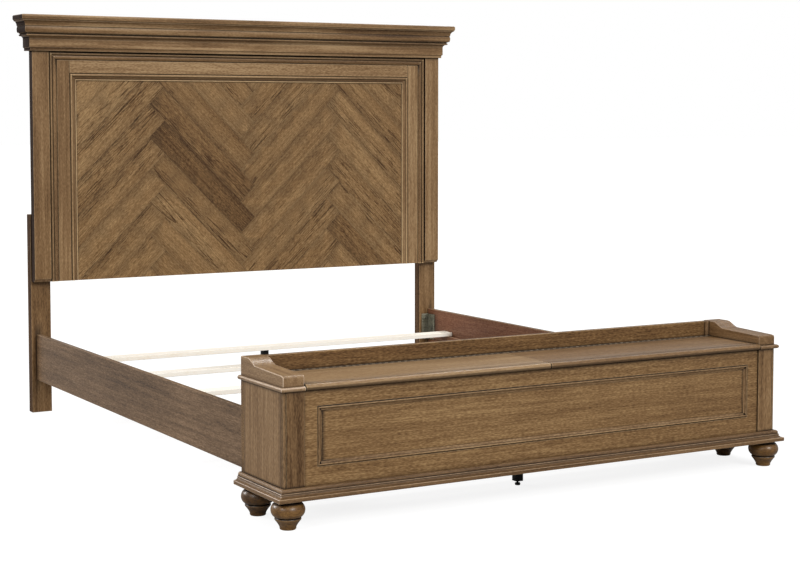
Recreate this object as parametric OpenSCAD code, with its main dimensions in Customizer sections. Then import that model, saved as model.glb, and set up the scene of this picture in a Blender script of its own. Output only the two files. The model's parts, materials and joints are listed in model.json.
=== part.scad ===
// King size bed with a panel headboard, two side rails, four slats and a lidded storage bench as
// its footboard. All sizes are in millimetres. X runs across the bed, Y from the foot to the head
// and Z up. The origin is on the floor, in the middle of the space that the bed takes up.

/* [Headboard] */
// How far the pilasters stand out past the side rails
headboard_over = 16; // [8:1:24]
// Height of the headboard panel's lower edge above the floor
panel_bottom_z = 563; // [520:1:700]
// Height of the panel from its lower edge to the crown
panel_h = 981; // [800:1:1150]
// Width of a pilaster's face
pilaster_w = 73; // [60:1:100]
// Depth of a pilaster, front to back
pilaster_d = 42; // [34:1:60]
// Slope cut on the pilasters' lower front edges
pilaster_chamfer = 14; // [6:1:18]
// How far the backing board's face lies behind the pilasters' face
core_setback = 16; // [14:0.5:20]
// How far the flat frame's face lies behind the pilasters' face
frame_setback = 8; // [5:0.5:11]
// Width of the flat frame's stiles and top rail
frame_w = 56; // [40:1:80]

/* [Panel mouldings] */
// Width of the moulding between pilaster and flat frame
outer_moulding_w = 37; // [34:1:44]
// Radius of its round bead
outer_bead_r = 6; // [4:0.5:7]
// Width of the moulding between flat frame and herringbone panel
inner_moulding_w = 30; // [27:1:36]
// Radius of its round bead
inner_bead_r = 5; // [3:0.5:6]
// Radius of the small bead next to the herringbone
edge_bead_r = 2.5; // [2:0.5:3]
// Width of the dark quirk beside a bead
quirk_w = 2; // [1.5:0.5:3]
// Depth of that quirk
quirk_depth = 2; // [1:0.5:3]
// Width of the groove between pilaster and outer moulding
groove_w = 4; // [3:0.5:6]
// Depth of that groove
groove_depth = 4; // [3:0.5:5]

/* [Crown] */
// How far the crown's back lies behind the pilasters' face
crown_back = 76; // [60:1:100]
// Height of the frieze
frieze_h = 50; // [40:1:70]
// How far the frieze stands out from the pilasters
frieze_out = 15; // [12:1:20]
// Height of the frieze's lower lip
frieze_lip_h = 9; // [6:1:14]
// How far the lip lies behind the frieze's face
frieze_lip_in = 5; // [3:1:8]
// Height of the bed mould under the cornice
bed_mould_h = 26; // [24:1:32]
// How far the bed mould's bead stands out
bed_mould_out = 32; // [31:1:38]
// Radius of the cove under that bead
bed_cove_r = 12; // [8:1:12]
// Radius of that bead
bed_bead_r = 4; // [3:0.5:5]
// Height of the cornice
cornice_h = 52; // [46:1:62]
// How far the cornice's top stands out
cornice_out = 54; // [48:1:56]
// Height of the swelling band at the cornice's foot
band_h = 28; // [22:1:34]
// How far that band stands out
band_out = 41; // [39:1:46]
// How much the band swells in its middle
band_swell = 3; // [2:0.5:5]
// Thickness of the cap board
cap_t = 22; // [18:1:28]
// How far the cap board stands out from the pilasters
cap_out = 58; // [57:1:70]
// Radius of the cap board's two rounded edges
cap_edge_r = 7; // [4:1:8]

/* [Herringbone] */
// Width of one veneer plank
plank_w = 101; // [70:1:140]
// Length of one veneer plank
plank_l = 617; // [450:1:800]
// Thickness of the veneer planks
plank_t = 1.5; // [1:0.1:2]
// Height of the middle seam's first outward corner above the panel's lower edge
first_corner = 105; // [0:1:140]

/* [Headboard legs] */
// How far the legs reach up behind the headboard panel
leg_overlap = 287; // [200:1:500]
// Distance of the outer bolts from the ends of that overlap
leg_bolt_in = 40; // [25:1:60]
// Width of a leg
leg_w = 86; // [70:1:100]
// Thickness of a leg
leg_t = 44; // [36:1:60]
// How far a leg stands out past its pilaster
leg_out = 5; // [0:1:12]

/* [Side rails] */
// Length of a side rail
rail_l = 2105; // [1950:1:2250]
// Height of a side rail
rail_h = 197; // [160:1:220]
// Thickness of a side rail
rail_t = 18; // [16:1:24]
// Clear width between the two rails
rail_gap_w = 1932; // [1800:1:1940]
// Height of the rails' lower edge above the floor
rail_bottom_z = 140; // [135:1:170]
// Width of the cleat that carries the slats
cleat_w = 28; // [22:1:34]
// Height of the cleat
cleat_h = 24; // [20:1:40]
// Space between a cleat's end and the bracket beside it
cleat_end_gap = 4; // [2:1:10]

/* [Slats] */
// Number of slats
slat_count = 4; // [4]
// Width of a slat
slat_w = 70; // [60:1:100]
// Thickness of a slat
slat_t = 18; // [15:1:22]
// Height of the slats' top above the rails' lower edge
slat_up = 105; // [80:1:130]
// Distance from the legs' face to the first slat's middle
first_slat = 196; // [140:1:260]
// Distance between the middles of two slats
slat_pitch = 503; // [420:1:560]
// Play between a slat's end and the rail beside it
slat_end_gap = 2; // [1:0.5:5]
// Distance from a slat's end to its screw
slat_screw_in = 15; // [12:1:20]

/* [Support legs] */
// Width of a square support leg
support_w = 28; // [24:1:40]
// Height of a support leg's lower end above the floor
support_bottom_z = 15; // [14:1:30]
// Radius of a levelling glide's pad
glide_r = 9.5; // [8:0.5:12]
// Thickness of a levelling glide's pad
glide_t = 9; // [5:0.5:11]
// Radius of a levelling glide's stem
glide_stem_r = 3; // [2:0.25:4]
// Length of a levelling glide's stem
glide_stem_l = 40; // [30:1:50]
// Play round a levelling glide's stem
glide_clearance = 0.06; // [0.03:0.01:0.1]
// How far the bench's support leg stands back from the bench's face
bench_leg_in = 190; // [120:1:230]

/* [Storage bench] */
// How far the bench's ends stand out past the side rails
bench_over = 6; // [2:1:16]
// Depth of the bench from its face to its back
bench_d = 308; // [280:1:400]
// Height of the bench's walls, from the bottom board to the underside of lids and arms
bench_wall_h = 320; // [280:1:420]
// Width of a front post, and of the arm above it
post_w = 73; // [60:1:90]
// Thickness of a front post
post_t = 25; // [25:1:32]
// Radius of the bead on a front post's corner
post_bead_r = 4.5; // [3:0.5:6]
// Thickness of an end panel
end_t = 20; // [18:1:26]
// Thickness of the back board
back_t = 20; // [18:1:28]
// Height of the back board above the underside of the lids
gallery_h = 73; // [50:1:120]
// Thickness of the front panel
front_t = 19; // [16:1:22]
// How far the front panel lies behind the posts' face
front_setback = 6; // [3:0.5:6]
// Depth of the rail that the lids are hinged to
hinge_rail_d = 16; // [14:1:20]
// Radius of the quarter round bead in the corner between back board and arm
corner_bead_r = 12; // [6:1:12]
// Gap between the front panel's top and the lids
front_gap = 2; // [1:0.5:4]
// Thickness of the bottom board
bottom_t = 18; // [15:1:24]
// Thickness of the divider in the middle
divider_t = 18; // [15:1:24]
// Side of a corner block's square
corner_block = 40; // [36:1:45]
// How far the corner blocks end under the arms
corner_block_down = 20; // [5:1:40]
// Width of the groove along the end panels' edges
end_groove = 2; // [1:0.5:3]

/* [Front panel frame] */
// Distance from a front post to the panel frame's outer edge
frame_in_x = 48; // [30:1:100]
// Distance from the bottom board to the panel frame's outer edge
frame_in_low = 78; // [40:1:100]
// Distance from the lids' underside to the panel frame's outer edge
frame_in_high = 53; // [30:1:80]
// Width of the panel frame's moulding
frame_mould_w = 17; // [14:1:24]
// Depth of the sunk field inside the panel frame
field_depth = 5; // [4:0.5:8]
// Radius of the bead along the frame's moulding
sticking_bead_r = 3; // [2:0.5:3]

/* [Arms] */
// Height of an arm at its back
arm_back_h = 75; // [60:1:120]
// Height of an arm at its front
arm_front_h = 48; // [36:1:50]
// Height of the arm where its curve ends
arm_low_h = 55; // [51:1:58]
// Length of the flat at the arm's back
arm_flat = 52; // [40:1:80]
// Length of the curve from the flat to the low part
arm_curve = 60; // [40:1:90]
// Radius of the arm's front edge
arm_round = 8; // [4:1:10]
// Height of the bead under the arm
arm_bead_h = 14; // [10:1:18]
// How far the bead stands out
arm_bead_out = 12; // [8:1:14]

/* [Lids] */
// Thickness of the lids
lid_t = 19; // [16:1:24]
// How far the lids' front edge stands out from the posts' face
lid_out = 12; // [10:1:16]
// Gap between the two lids
lid_gap = 3; // [2:0.5:6]
// Gap between a lid and the arm beside it
lid_end_gap = 2; // [1.5:0.5:5]
// Distance from the lids' front edge to the groove behind it
lid_groove_in = 24; // [18:1:34]
// Width and depth of that groove
lid_groove = 1.5; // [1:0.25:2.5]

/* [Piano hinges] */
// Radius of a hinge knuckle
knuckle_r = 3; // [2.5:0.25:4]
// Radius of a hinge pin
pin_r = 1.2; // [1:0.1:1.5]
// Play round a hinge pin
pin_clearance = 0.05; // [0.03:0.01:0.1]
// Number of knuckles on one hinge, an even number
knuckle_count = 74; // [24:2:96]
// Gap between two knuckles
knuckle_gap = 0.4; // [0.2:0.1:1]
// Thickness of a hinge leaf
leaf_t = 0.8; // [0.6:0.1:1]
// Height of a hinge leaf
leaf_h = 17; // [12:0.5:18]
// Space between a hinge leaf and the knuckles of the other leaf
leaf_play = 0.2; // [0.1:0.05:0.4]

/* [Base moulding and feet] */
// Height of the base moulding
base_h = 39; // [34:1:50]
// How far the base moulding stands out
base_out = 28; // [22:1:32]
// Height of the base moulding's lower band
base_band_h = 13; // [8:1:14]
// Radius of the small bead above its cove
base_bead_r = 1.5; // [1:0.5:2]
// Height of the bun feet
foot_h = 92; // [80:1:110]
// Radius of a bun foot's ball
foot_ball_r = 54; // [46:1:58]
// Radius of the ball's rounding, seen from the side
foot_ball_round = 26.5; // [26:0.5:31]
// Radius of a bun foot's ring
foot_ring_r = 42; // [36:1:44]
// Radius of a bun foot's lower end
foot_base_r = 26; // [20:1:32]
// Distance from the bench's end to a foot's middle
foot_in_x = 26; // [24:1:60]
// Distance from the bench's face to a front foot's middle
foot_in_front = 23; // [22:1:60]
// Distance from the bench's back to a rear foot's middle
foot_in_back = 68; // [50:1:90]
// Radius of the dowel on top of a foot
foot_dowel_r = 5; // [4:0.5:8]
// Length of that dowel
foot_dowel_l = 13; // [8:1:14]

/* [Fasteners] */
// Height of an angle bracket
bracket_h = 120; // [100:1:150]
// Length of an angle bracket along the rail
bracket_l = 66; // [50:1:80]
// Width of an angle bracket across the rail
bracket_w = 34; // [30:1:45]
// Thickness of an angle bracket
bracket_t = 2.5; // [2:0.5:4]
// Height of a bracket's lower edge above the rail's lower edge
bracket_up = 52; // [40:1:60]
// Distance of a bracket's holes from its upper and lower ends
bracket_hole_in = 22; // [16:1:28]
// Distance from a bracket's free edge to its bolts
bracket_bolt_in = 15; // [13:1:17]
// Distance from a bracket's end on the rail to its screws
bracket_screw_end = 16; // [10:1:24]
// Wood left past the tip of a bolt in a leg or corner block
bolt_rest = 8; // [6:1:14]
// Play past the tip of a bolt
bolt_tip_gap = 2; // [1:0.5:3]
// Radius of a bolt's shank
bolt_r = 4; // [3:0.5:5]
// Length of a bolt under its head
bolt_l = 60; // [52:1:62]
// Radius of a bolt head, across its corners
bolt_head_r = 7.5; // [6.5:0.5:9]
// Height of a bolt head
bolt_head_h = 5; // [4:0.5:7]
// Radius of a bolt's washer
washer_r = 11; // [10:0.5:13]
// Thickness of a bolt's washer
washer_t = 1.6; // [1:0.1:2]
// Radius of a wood screw's shank
screw_r = 2; // [1.5:0.25:2.5]
// Length of a wood screw under its head
screw_l = 15; // [12:1:17]
// Radius of a wood screw's head
screw_head_r = 4; // [3.5:0.25:5]
// Height of a wood screw's head
screw_head_h = 2; // [1.5:0.25:3]
// Play between a fastener and its hole
hole_clearance = 0.1; // [0.05:0.05:0.3]
// Gap at the joints of veneer planks
veneer_gap = 0.2; // [0.1:0.05:0.4]
// Gap at the mitres of panel mouldings
mitre_gap = 0.2; // [0.1:0.05:0.4]

/* [Hidden] */
$fn = 48;

// Small steps and roundings of the mouldings
lip_edge_r = 2;
cornice_lip_h = 3;
bead_sink = 1;
base_band_round = 2;
base_top_round = 8;
base_quirk = 2;
foot_chamfer = 3;
foot_chamfer_in = 2;
foot_plinth_h = 7;
foot_taper_bend = 1.3;
foot_neck_h = 4;
foot_neck_step = 6;
foot_groove_h = 1;
ring_round = 5;
ring_step = 6;
ball_low_angle = 53;
ball_high_angle = 72;
glide_edge = 2;
bead_groove = 2;

oak = "#8a6a48";
oak_light = "#9a7a58";
oak_dark = "#6b4c30";
pine = "#f0e2c8";
steel = "#b8bcc0";
black = "#1c1a19";

// Longer than the bed in any direction, for cutting shapes
far = 4000;
// How deep a cutting shape starts outside the surface that it opens
past = 1;
left = -1;
right = 1;

rail_half = rail_gap_w / 2;
headboard_half = rail_half + rail_t + headboard_over;
bench_half = rail_half + rail_t + bench_over;

// Places along Y: the bed's whole depth lies evenly on both sides of the origin
reach_front = rail_l - pilaster_d + bench_d + max(base_out, lid_out, foot_ball_r - foot_in_front);
reach_back = max(pilaster_d + leg_t + washer_t + bolt_head_h, crown_back);
headboard_y = (reach_front - reach_back) / 2;
core_y = headboard_y + core_setback;
frame_y = headboard_y + frame_setback;
leg_y = headboard_y + pilaster_d;
bench_back_y = leg_y - rail_l;
bench_face_y = bench_back_y - bench_d;
back_inner_y = bench_back_y - back_t;
front_face_y = bench_face_y + front_setback;
front_inner_y = front_face_y + front_t;
post_inner_y = bench_face_y + post_t;

// Places along X on the headboard, from its middle outwards
field_half = headboard_half - pilaster_w - outer_moulding_w - frame_w - inner_moulding_w;
stile_in = field_half + inner_moulding_w;
stile_out = stile_in + frame_w;
pilaster_in = headboard_half - pilaster_w;
leg_out_x = headboard_half + leg_out;
leg_mid_x = leg_out_x - leg_w / 2;

// Heights on the headboard
crown_bottom_z = panel_bottom_z + panel_h;
leg_h = panel_bottom_z + leg_overlap;
frame_top_z = crown_bottom_z - outer_moulding_w;
rail_low_z = frame_top_z - frame_w;
field_top_z = rail_low_z - inner_moulding_w;
bed_mould_z = crown_bottom_z + frieze_h;
cornice_z = bed_mould_z + bed_mould_h;
cap_z = cornice_z + cornice_h;

// Places on the bench
base_z = foot_h;
floor_z = foot_h + bottom_t;
bench_wall_z = floor_z + bench_wall_h;
back_top_z = bench_wall_z + gallery_h;
arm_in = bench_half - post_w;
frame_half_w = arm_in - frame_in_x;
frame_low_z = floor_z + frame_in_low;
frame_high_z = bench_wall_z - frame_in_high;
end_inner = bench_half - end_t;
lid_top_z = bench_wall_z + lid_t;
lid_x0 = lid_gap / 2;
lid_x1 = arm_in - lid_end_gap;
hinge_rail_y = back_inner_y - hinge_rail_d;
leaf_out = leaf_t + knuckle_r + leaf_play;
hinge_y = hinge_rail_y - leaf_out;
hinge_z = lid_top_z;
lid_back_y = hinge_y - leaf_out;
knuckle_pitch = (lid_x1 - lid_x0) / knuckle_count;

// Places of rails, slats and support legs
rail_top_z = rail_bottom_z + rail_h;
slat_top_z = rail_bottom_z + slat_up;
slat_low_z = slat_top_z - slat_t;
slat_half = rail_half - slat_end_gap;
bracket_z = rail_bottom_z + bracket_up;
bench_leg_y = bench_face_y + bench_leg_in;
slat_screw_x = slat_half - slat_screw_in;

function slat_y(i) = leg_y - first_slat - i * slat_pitch;

// Points along an arc about a centre, from one angle to another
function arc(cx, cy, r, a0, a1, n = 8) =
    [for (i = [0 : n]) [cx + r * cos(a0 + (a1 - a0) * i / n), cy + r * sin(a0 + (a1 - a0) * i / n)]];

// Points of a smooth S from one point to another, level at both ends
function s_curve(x0, y0, x1, y1, n = 12) =
    [for (i = [0 : n]) [x0 + (x1 - x0) * i / n, y0 + (y1 - y0) * (1 - cos(180 * i / n)) / 2]];

// Copies of a shape drawn for the right side, put on one side or on both
module on_side(side) {
    if (side == right) children();
    else mirror([1, 0, 0]) children();
}

module both_sides() {
    children();
    mirror([1, 0, 0]) children();
}

// Length along X of a section drawn in the YZ plane
module run_x(x0, x1) {
    translate([x0, 0, 0]) rotate([90, 0, 90]) linear_extrude(x1 - x0) children();
}

// Length along Y of a section drawn in the XZ plane
module run_y(y0, y1) {
    translate([0, y1, 0]) rotate([90, 0, 0]) linear_extrude(y1 - y0) children();
}

// Box between two corners
module block(low, high) {
    translate(low) cube(high - low);
}

// A board whose edge section goes round its front and both ends, with mitred corners. The section
// is drawn with X outwards from the pilasters' faces and Y upwards.
module three_sided(half, y_face, y_back) {
    intersection() {
        run_x(-far, far) intersection() {
            translate([y_face, 0]) mirror([1, 0]) children();
            translate([-far, 0]) square([far + y_back, far]);
        }
        run_y(-far, far) intersection() {
            translate([half, 0]) children();
            mirror([1, 0]) translate([half, 0]) children();
        }
    }
}

// Crown of the headboard, from the frieze up to the cap board
module frieze_section() {
    lip_x = frieze_out - frieze_lip_in;
    polygon(concat([[-far, 0]], arc(lip_x - lip_edge_r, lip_edge_r, lip_edge_r, -90, 0, 4),
        arc(frieze_out, frieze_lip_h, frieze_lip_in, 180, 90, 4),
        [[frieze_out, frieze_h], [-far, frieze_h]]));
}

module crown_frieze() {
    color(oak_light) three_sided(headboard_half, headboard_y, headboard_y + crown_back)
        translate([0, crown_bottom_z]) frieze_section();
}

module bed_mould_section() {
    bead_x = bed_mould_out - bed_bead_r;
    bead_top = bed_cove_r + 2 * bed_bead_r;
    fillet_z = (bead_top + bed_mould_h) / 2;
    polygon(concat([[-far, 0], [frieze_out, 0]],
        arc(frieze_out + bed_cove_r, 0, bed_cove_r, 180, 90, 6),
        arc(bead_x, bed_cove_r + bed_bead_r, bed_bead_r, -90, 90, 8),
        [[bead_x, fillet_z], [bed_mould_out, fillet_z], [bed_mould_out, bed_mould_h], [-far, bed_mould_h]]));
}

module crown_bed_mould() {
    color(oak) three_sided(headboard_half, headboard_y, headboard_y + crown_back)
        translate([0, bed_mould_z]) bed_mould_section();
}

module cornice_section() {
    swell_r = (band_swell * band_swell + band_h * band_h / 4) / (2 * band_swell);
    swell_a = asin(band_h / 2 / swell_r);
    cove_h = cornice_h - band_h - cornice_lip_h;
    polygon(concat([[-far, 0], [band_out - band_swell, 0]],
        arc(band_out - swell_r, band_h / 2, swell_r, -swell_a, swell_a, 8),
        [for (i = [0 : 8]) [band_out + (cornice_out - band_out) * (1 - cos(90 * i / 8)),
            band_h + cove_h * sin(90 * i / 8)]],
        [[cornice_out, cornice_h], [-far, cornice_h]]));
}

module crown_cornice() {
    color(oak) three_sided(headboard_half, headboard_y, headboard_y + crown_back)
        translate([0, cornice_z]) cornice_section();
}

module cap_section() {
    edge_x = cap_out - cap_edge_r;
    polygon(concat([[-far, 0]], arc(edge_x, cap_edge_r, cap_edge_r, -90, 0, 6),
        arc(edge_x, cap_t - cap_edge_r, cap_edge_r, 0, 90, 6), [[-far, cap_t]]));
}

module crown_cap() {
    color(oak) three_sided(headboard_half, headboard_y, headboard_y + crown_back)
        translate([0, cap_z]) cap_section();
}

// Headboard panel: backing board, pilasters, flat frame, mouldings and herringbone veneer
module bolt_hole(y0, y1) {
    translate([0, y1, 0]) rotate([90, 0, 0]) cylinder(r = bolt_r + hole_clearance, h = y1 - y0);
}

// Places of the bolts that hold a leg to the headboard
leg_bolt_z = [panel_bottom_z + leg_bolt_in, (panel_bottom_z + leg_h) / 2, leg_h - leg_bolt_in];
leg_bolt_tip_y = leg_y + leg_t + washer_t - bolt_l;
leg_bolt_x = (pilaster_in + headboard_half) / 2;

module headboard_core() {
    color(oak_dark) block([-pilaster_in, core_y, panel_bottom_z], [pilaster_in, leg_y, crown_bottom_z]);
}

module pilaster(side) {
    color(oak_light) on_side(side) difference() {
        block([pilaster_in, headboard_y, panel_bottom_z], [headboard_half, leg_y, crown_bottom_z]);
        run_x(0, far) polygon([[headboard_y - past, panel_bottom_z - past],
            [headboard_y + pilaster_chamfer + past, panel_bottom_z - past],
            [headboard_y - past, panel_bottom_z + pilaster_chamfer + past]]);
        for (z = leg_bolt_z) translate([leg_bolt_x, 0, z]) bolt_hole(leg_bolt_tip_y - past, leg_y + past);
    }
}

module left_pilaster() {
    pilaster(left);
}

module right_pilaster() {
    pilaster(right);
}

module stile(side) {
    color(oak_light) on_side(side)
        block([stile_in, frame_y, panel_bottom_z], [stile_out, core_y, frame_top_z]);
}

module left_stile() {
    stile(left);
}

module right_stile() {
    stile(right);
}

module top_rail() {
    color(oak_light) block([-stile_in, frame_y, rail_low_z], [stile_in, core_y, frame_top_z]);
}

// A moulding up both sides and across the top, mitred at its two corners. The section is drawn
// with X from the moulding's outer edge inwards and Y forwards from the backing board.
module arch_moulding(half_out, w, top_z) {
    module upright() {
        translate([half_out, core_y, panel_bottom_z]) mirror([1, 0, 0])
            linear_extrude(top_z - panel_bottom_z) mirror([0, 1]) children();
    }
    both_sides() intersection() {
        upright() children();
        run_y(-far, far) polygon([[half_out - w, 0], [half_out, 0], [half_out, top_z],
            [half_out - w, top_z - w]]);
    }
    cross_half = half_out - mitre_gap;
    intersection() {
        translate([-half_out, core_y, top_z]) rotate([0, 90, 0]) linear_extrude(half_out * 2)
            mirror([0, 1]) children();
        run_y(-far, far) polygon([[-cross_half, top_z], [-cross_half + w, top_z - w],
            [cross_half - w, top_z - w], [cross_half, top_z]]);
    }
}

module inner_section() {
    rise = core_setback - frame_setback;
    bead_x = quirk_w + inner_bead_r;
    cove_x0 = bead_x + inner_bead_r;
    cove_x1 = inner_moulding_w - 2 * edge_bead_r;
    edge_z = plank_t + edge_bead_r / 2;
    cove_z = rise - quirk_depth;
    polygon(concat([[0, 0], [0, cove_z], [quirk_w, cove_z]], arc(bead_x, rise, inner_bead_r, 180, 0, 8),
        [for (i = [0 : 6]) [cove_x0 + (cove_x1 - cove_x0) * sin(90 * i / 6),
            edge_z + (cove_z - edge_z) * (1 - sin(90 * i / 6))]],
        arc(inner_moulding_w - edge_bead_r, edge_z, edge_bead_r, 180, 0, 6), [[inner_moulding_w, 0]]));
}

module inner_moulding() {
    color(oak) arch_moulding(stile_in, inner_moulding_w, rail_low_z) inner_section();
}

module outer_section() {
    rise = core_setback - frame_setback;
    low_z = rise - groove_depth;
    bead_x = groove_w + outer_bead_r;
    swell_x0 = bead_x + outer_bead_r + quirk_w / 2;
    swell_x1 = outer_moulding_w - quirk_w;
    polygon(concat([[0, 0], [0, low_z], [groove_w, low_z]],
        arc(bead_x, rise - bead_sink, outer_bead_r, 180, 0, 8), [[swell_x0, low_z]],
        [for (i = [0 : 8]) [swell_x0 + (swell_x1 - swell_x0) * i / 8,
            low_z + groove_depth * (1 + sin(15 + 165 * i / 8))]],
        [[swell_x1, low_z], [outer_moulding_w, low_z], [outer_moulding_w, 0]]));
}

module outer_moulding() {
    color(oak) arch_moulding(pilaster_in, outer_moulding_w, crown_bottom_z) outer_section();
}

// Each plank lies at 45 degrees and its square end meets the side of a plank of the next column
plank_step = plank_w * sqrt(2);
column_w = plank_l / sqrt(2);
zigzag = plank_w / sqrt(2);

module plank(rises) {
    rotate(rises ? 45 : -45) translate([veneer_gap / 2, rises ? veneer_gap / 2 : -plank_w + veneer_gap / 2])
        square([plank_l - veneer_gap, plank_w - veneer_gap]);
}

module herringbone_veneer() {
    columns_aside = ceil(field_half / column_w);
    rows_down = ceil((column_w + zigzag) / plank_step) + 1;
    rows_up = ceil((field_top_z - panel_bottom_z + column_w) / plank_step) + 1;
    color(oak) run_y(core_y - plank_t, core_y)
        for (column = [-columns_aside : columns_aside - 1], row = [-rows_down : rows_up]) {
            rises = column % 2 == 0;
            z = panel_bottom_z + first_corner + row * plank_step;
            intersection() {
                translate(rises ? [column * column_w + zigzag / 2, z]
                    : [column * column_w + zigzag / 2, z + column_w]) plank(rises);
                translate([-field_half, panel_bottom_z])
                    square([field_half * 2, field_top_z - panel_bottom_z]);
            }
        }
}

module headboard_leg(side) {
    color(oak) on_side(side) difference() {
        block([leg_out_x - leg_w, leg_y, 0], [leg_out_x, leg_y + leg_t, leg_h]);
        for (z = leg_bolt_z) translate([leg_bolt_x, 0, z]) bolt_hole(leg_y - past, leg_y + leg_t + past);
        for (z = bracket_bolt_z) translate([bracket_bolt_x, 0, z])
            bolt_hole(leg_y - past, leg_y + bracket_bolt_l + bolt_tip_gap);
    }
}

module left_headboard_leg() {
    headboard_leg(left);
}

module right_headboard_leg() {
    headboard_leg(right);
}

// A hexagon bolt with its washer, its head at the origin's side and its shank along +Y
module hex_bolt(l) {
    rotate([-90, 0, 0]) {
        translate([0, 0, -washer_t - bolt_head_h]) cylinder(r = bolt_head_r, h = bolt_head_h, $fn = 6);
        translate([0, 0, -washer_t]) cylinder(r = washer_r, h = washer_t);
        translate([0, 0, -washer_t]) cylinder(r = bolt_r, h = l);
    }
}

// Places of the bolts and screws in the angle brackets
bracket_bolt_z = [bracket_z + bracket_hole_in, bracket_z + bracket_h - bracket_hole_in];
bracket_bolt_x = rail_half - bracket_w + bracket_bolt_in;
bracket_screw_z = [bracket_bolt_z[0], bracket_z + bracket_h / 2, bracket_bolt_z[1]];
bracket_screw_in = bracket_l - bracket_screw_end;
bracket_bolt_l = leg_t - bolt_rest;
bench_bolt_l = back_t + corner_block - bolt_rest;

module hex_bolts() {
    color(steel) both_sides() {
        for (z = leg_bolt_z) translate([leg_bolt_x, leg_y + leg_t, z]) mirror([0, 1, 0]) hex_bolt(bolt_l);
        for (z = bracket_bolt_z) {
            translate([bracket_bolt_x, leg_y - bracket_t, z]) hex_bolt(bracket_bolt_l);
            translate([bracket_bolt_x, bench_back_y + bracket_t, z]) mirror([0, 1, 0])
                hex_bolt(bench_bolt_l);
        }
    }
}

// Side rails with their cleats and brackets
module side_rail(side) {
    color(oak_dark) on_side(side) difference() {
        block([rail_half, bench_back_y, rail_bottom_z], [rail_half + rail_t, leg_y, rail_top_z]);
        for (z = bracket_screw_z, y = [bench_back_y + bracket_screw_in, leg_y - bracket_screw_in])
            translate([rail_half - past, y, z]) rotate([0, 90, 0])
                cylinder(r = screw_r + hole_clearance, h = screw_l + past);
    }
}

module left_side_rail() {
    side_rail(left);
}

module right_side_rail() {
    side_rail(right);
}

module slat_cleat(side) {
    end_in = bracket_l + cleat_end_gap;
    color(pine) on_side(side) difference() {
        block([rail_half - cleat_w, bench_back_y + end_in, slat_low_z - cleat_h],
            [rail_half, leg_y - end_in, slat_low_z]);
        for (i = [0 : slat_count - 1]) translate([slat_screw_x, slat_y(i), slat_low_z - cleat_h - past])
            cylinder(r = screw_r + hole_clearance, h = cleat_h + 2 * past);
    }
}

module left_slat_cleat() {
    slat_cleat(left);
}

module right_slat_cleat() {
    slat_cleat(right);
}

module rail_bracket() {
    difference() {
        translate([0, 0, bracket_z]) linear_extrude(bracket_h)
            polygon([[rail_half - bracket_w, 0], [rail_half, 0], [rail_half, bracket_l],
                [rail_half - bracket_t, bracket_l], [rail_half - bracket_t, bracket_t],
                [rail_half - bracket_w, bracket_t]]);
        for (z = bracket_bolt_z) translate([bracket_bolt_x, 0, z]) bolt_hole(-past, bracket_t + past);
        for (z = bracket_screw_z) translate([rail_half - bracket_t - past, bracket_screw_in, z])
            rotate([0, 90, 0]) cylinder(r = screw_r + hole_clearance, h = bracket_t + 2 * past);
    }
}

module rail_brackets() {
    color(steel) both_sides() {
        translate([0, bench_back_y, 0]) rail_bracket();
        translate([0, leg_y, 0]) mirror([0, 1, 0]) rail_bracket();
    }
}

// A pan head screw with the underside of its head at the origin and its shank along -Z
module wood_screw(l) {
    translate([0, 0, -l]) cylinder(r = screw_r, h = l);
    cylinder(r = screw_head_r, h = screw_head_h);
}

module wood_screws() {
    color(steel) both_sides() {
        for (z = bracket_screw_z, y = [bench_back_y + bracket_screw_in, leg_y - bracket_screw_in])
            translate([rail_half - bracket_t, y, z]) rotate([0, -90, 0]) wood_screw(screw_l);
        for (i = [0 : slat_count - 1]) translate([slat_screw_x, slat_y(i), slat_top_z - screw_head_h])
            wood_screw(slat_t + cleat_h / 2);
    }
}

// Slats with their support legs and levelling glides
module slat(i) {
    color(pine) difference() {
        block([-slat_half, slat_y(i) - slat_w / 2, slat_low_z],
            [slat_half, slat_y(i) + slat_w / 2, slat_top_z]);
        both_sides() translate([slat_screw_x, slat_y(i), slat_low_z - past]) {
            cylinder(r = screw_r + hole_clearance, h = slat_t + 2 * past);
            translate([0, 0, slat_t + past - screw_head_h])
                cylinder(r = screw_head_r + hole_clearance, h = screw_head_h + past);
        }
    }
}

module slat_1() {
    slat(0);
}

module slat_2() {
    slat(1);
}

module slat_3() {
    slat(2);
}

module slat_4() {
    slat(3);
}

module support_leg(top_z) {
    difference() {
        translate([-support_w / 2, -support_w / 2, support_bottom_z])
            cube([support_w, support_w, top_z - support_bottom_z]);
        translate([0, 0, support_bottom_z - past])
            cylinder(r = glide_stem_r + glide_clearance, h = glide_stem_l + past);
    }
}

module glide() {
    tip_z = glide_t + glide_stem_l;
    color(steel) rotate_extrude() polygon([[0, 0], [glide_r - glide_edge, 0], [glide_r, glide_edge],
        [glide_r, glide_t - glide_edge], [glide_r - glide_edge, glide_t], [glide_stem_r, glide_t],
        [glide_stem_r, tip_z - glide_edge], [glide_stem_r - glide_edge, tip_z], [0, tip_z]]);
}

module slat_legs() {
    color(black) for (i = [0 : slat_count - 1]) translate([0, slat_y(i), 0]) support_leg(slat_low_z);
}

module slat_glide_1() {
    translate([0, slat_y(0), 0]) glide();
}

module slat_glide_2() {
    translate([0, slat_y(1), 0]) glide();
}

module slat_glide_3() {
    translate([0, slat_y(2), 0]) glide();
}

module slat_glide_4() {
    translate([0, slat_y(3), 0]) glide();
}

module bench_leg() {
    color(black) translate([0, bench_leg_y, 0]) support_leg(base_z);
}

module bench_glide() {
    translate([0, bench_leg_y, 0]) glide();
}

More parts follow.
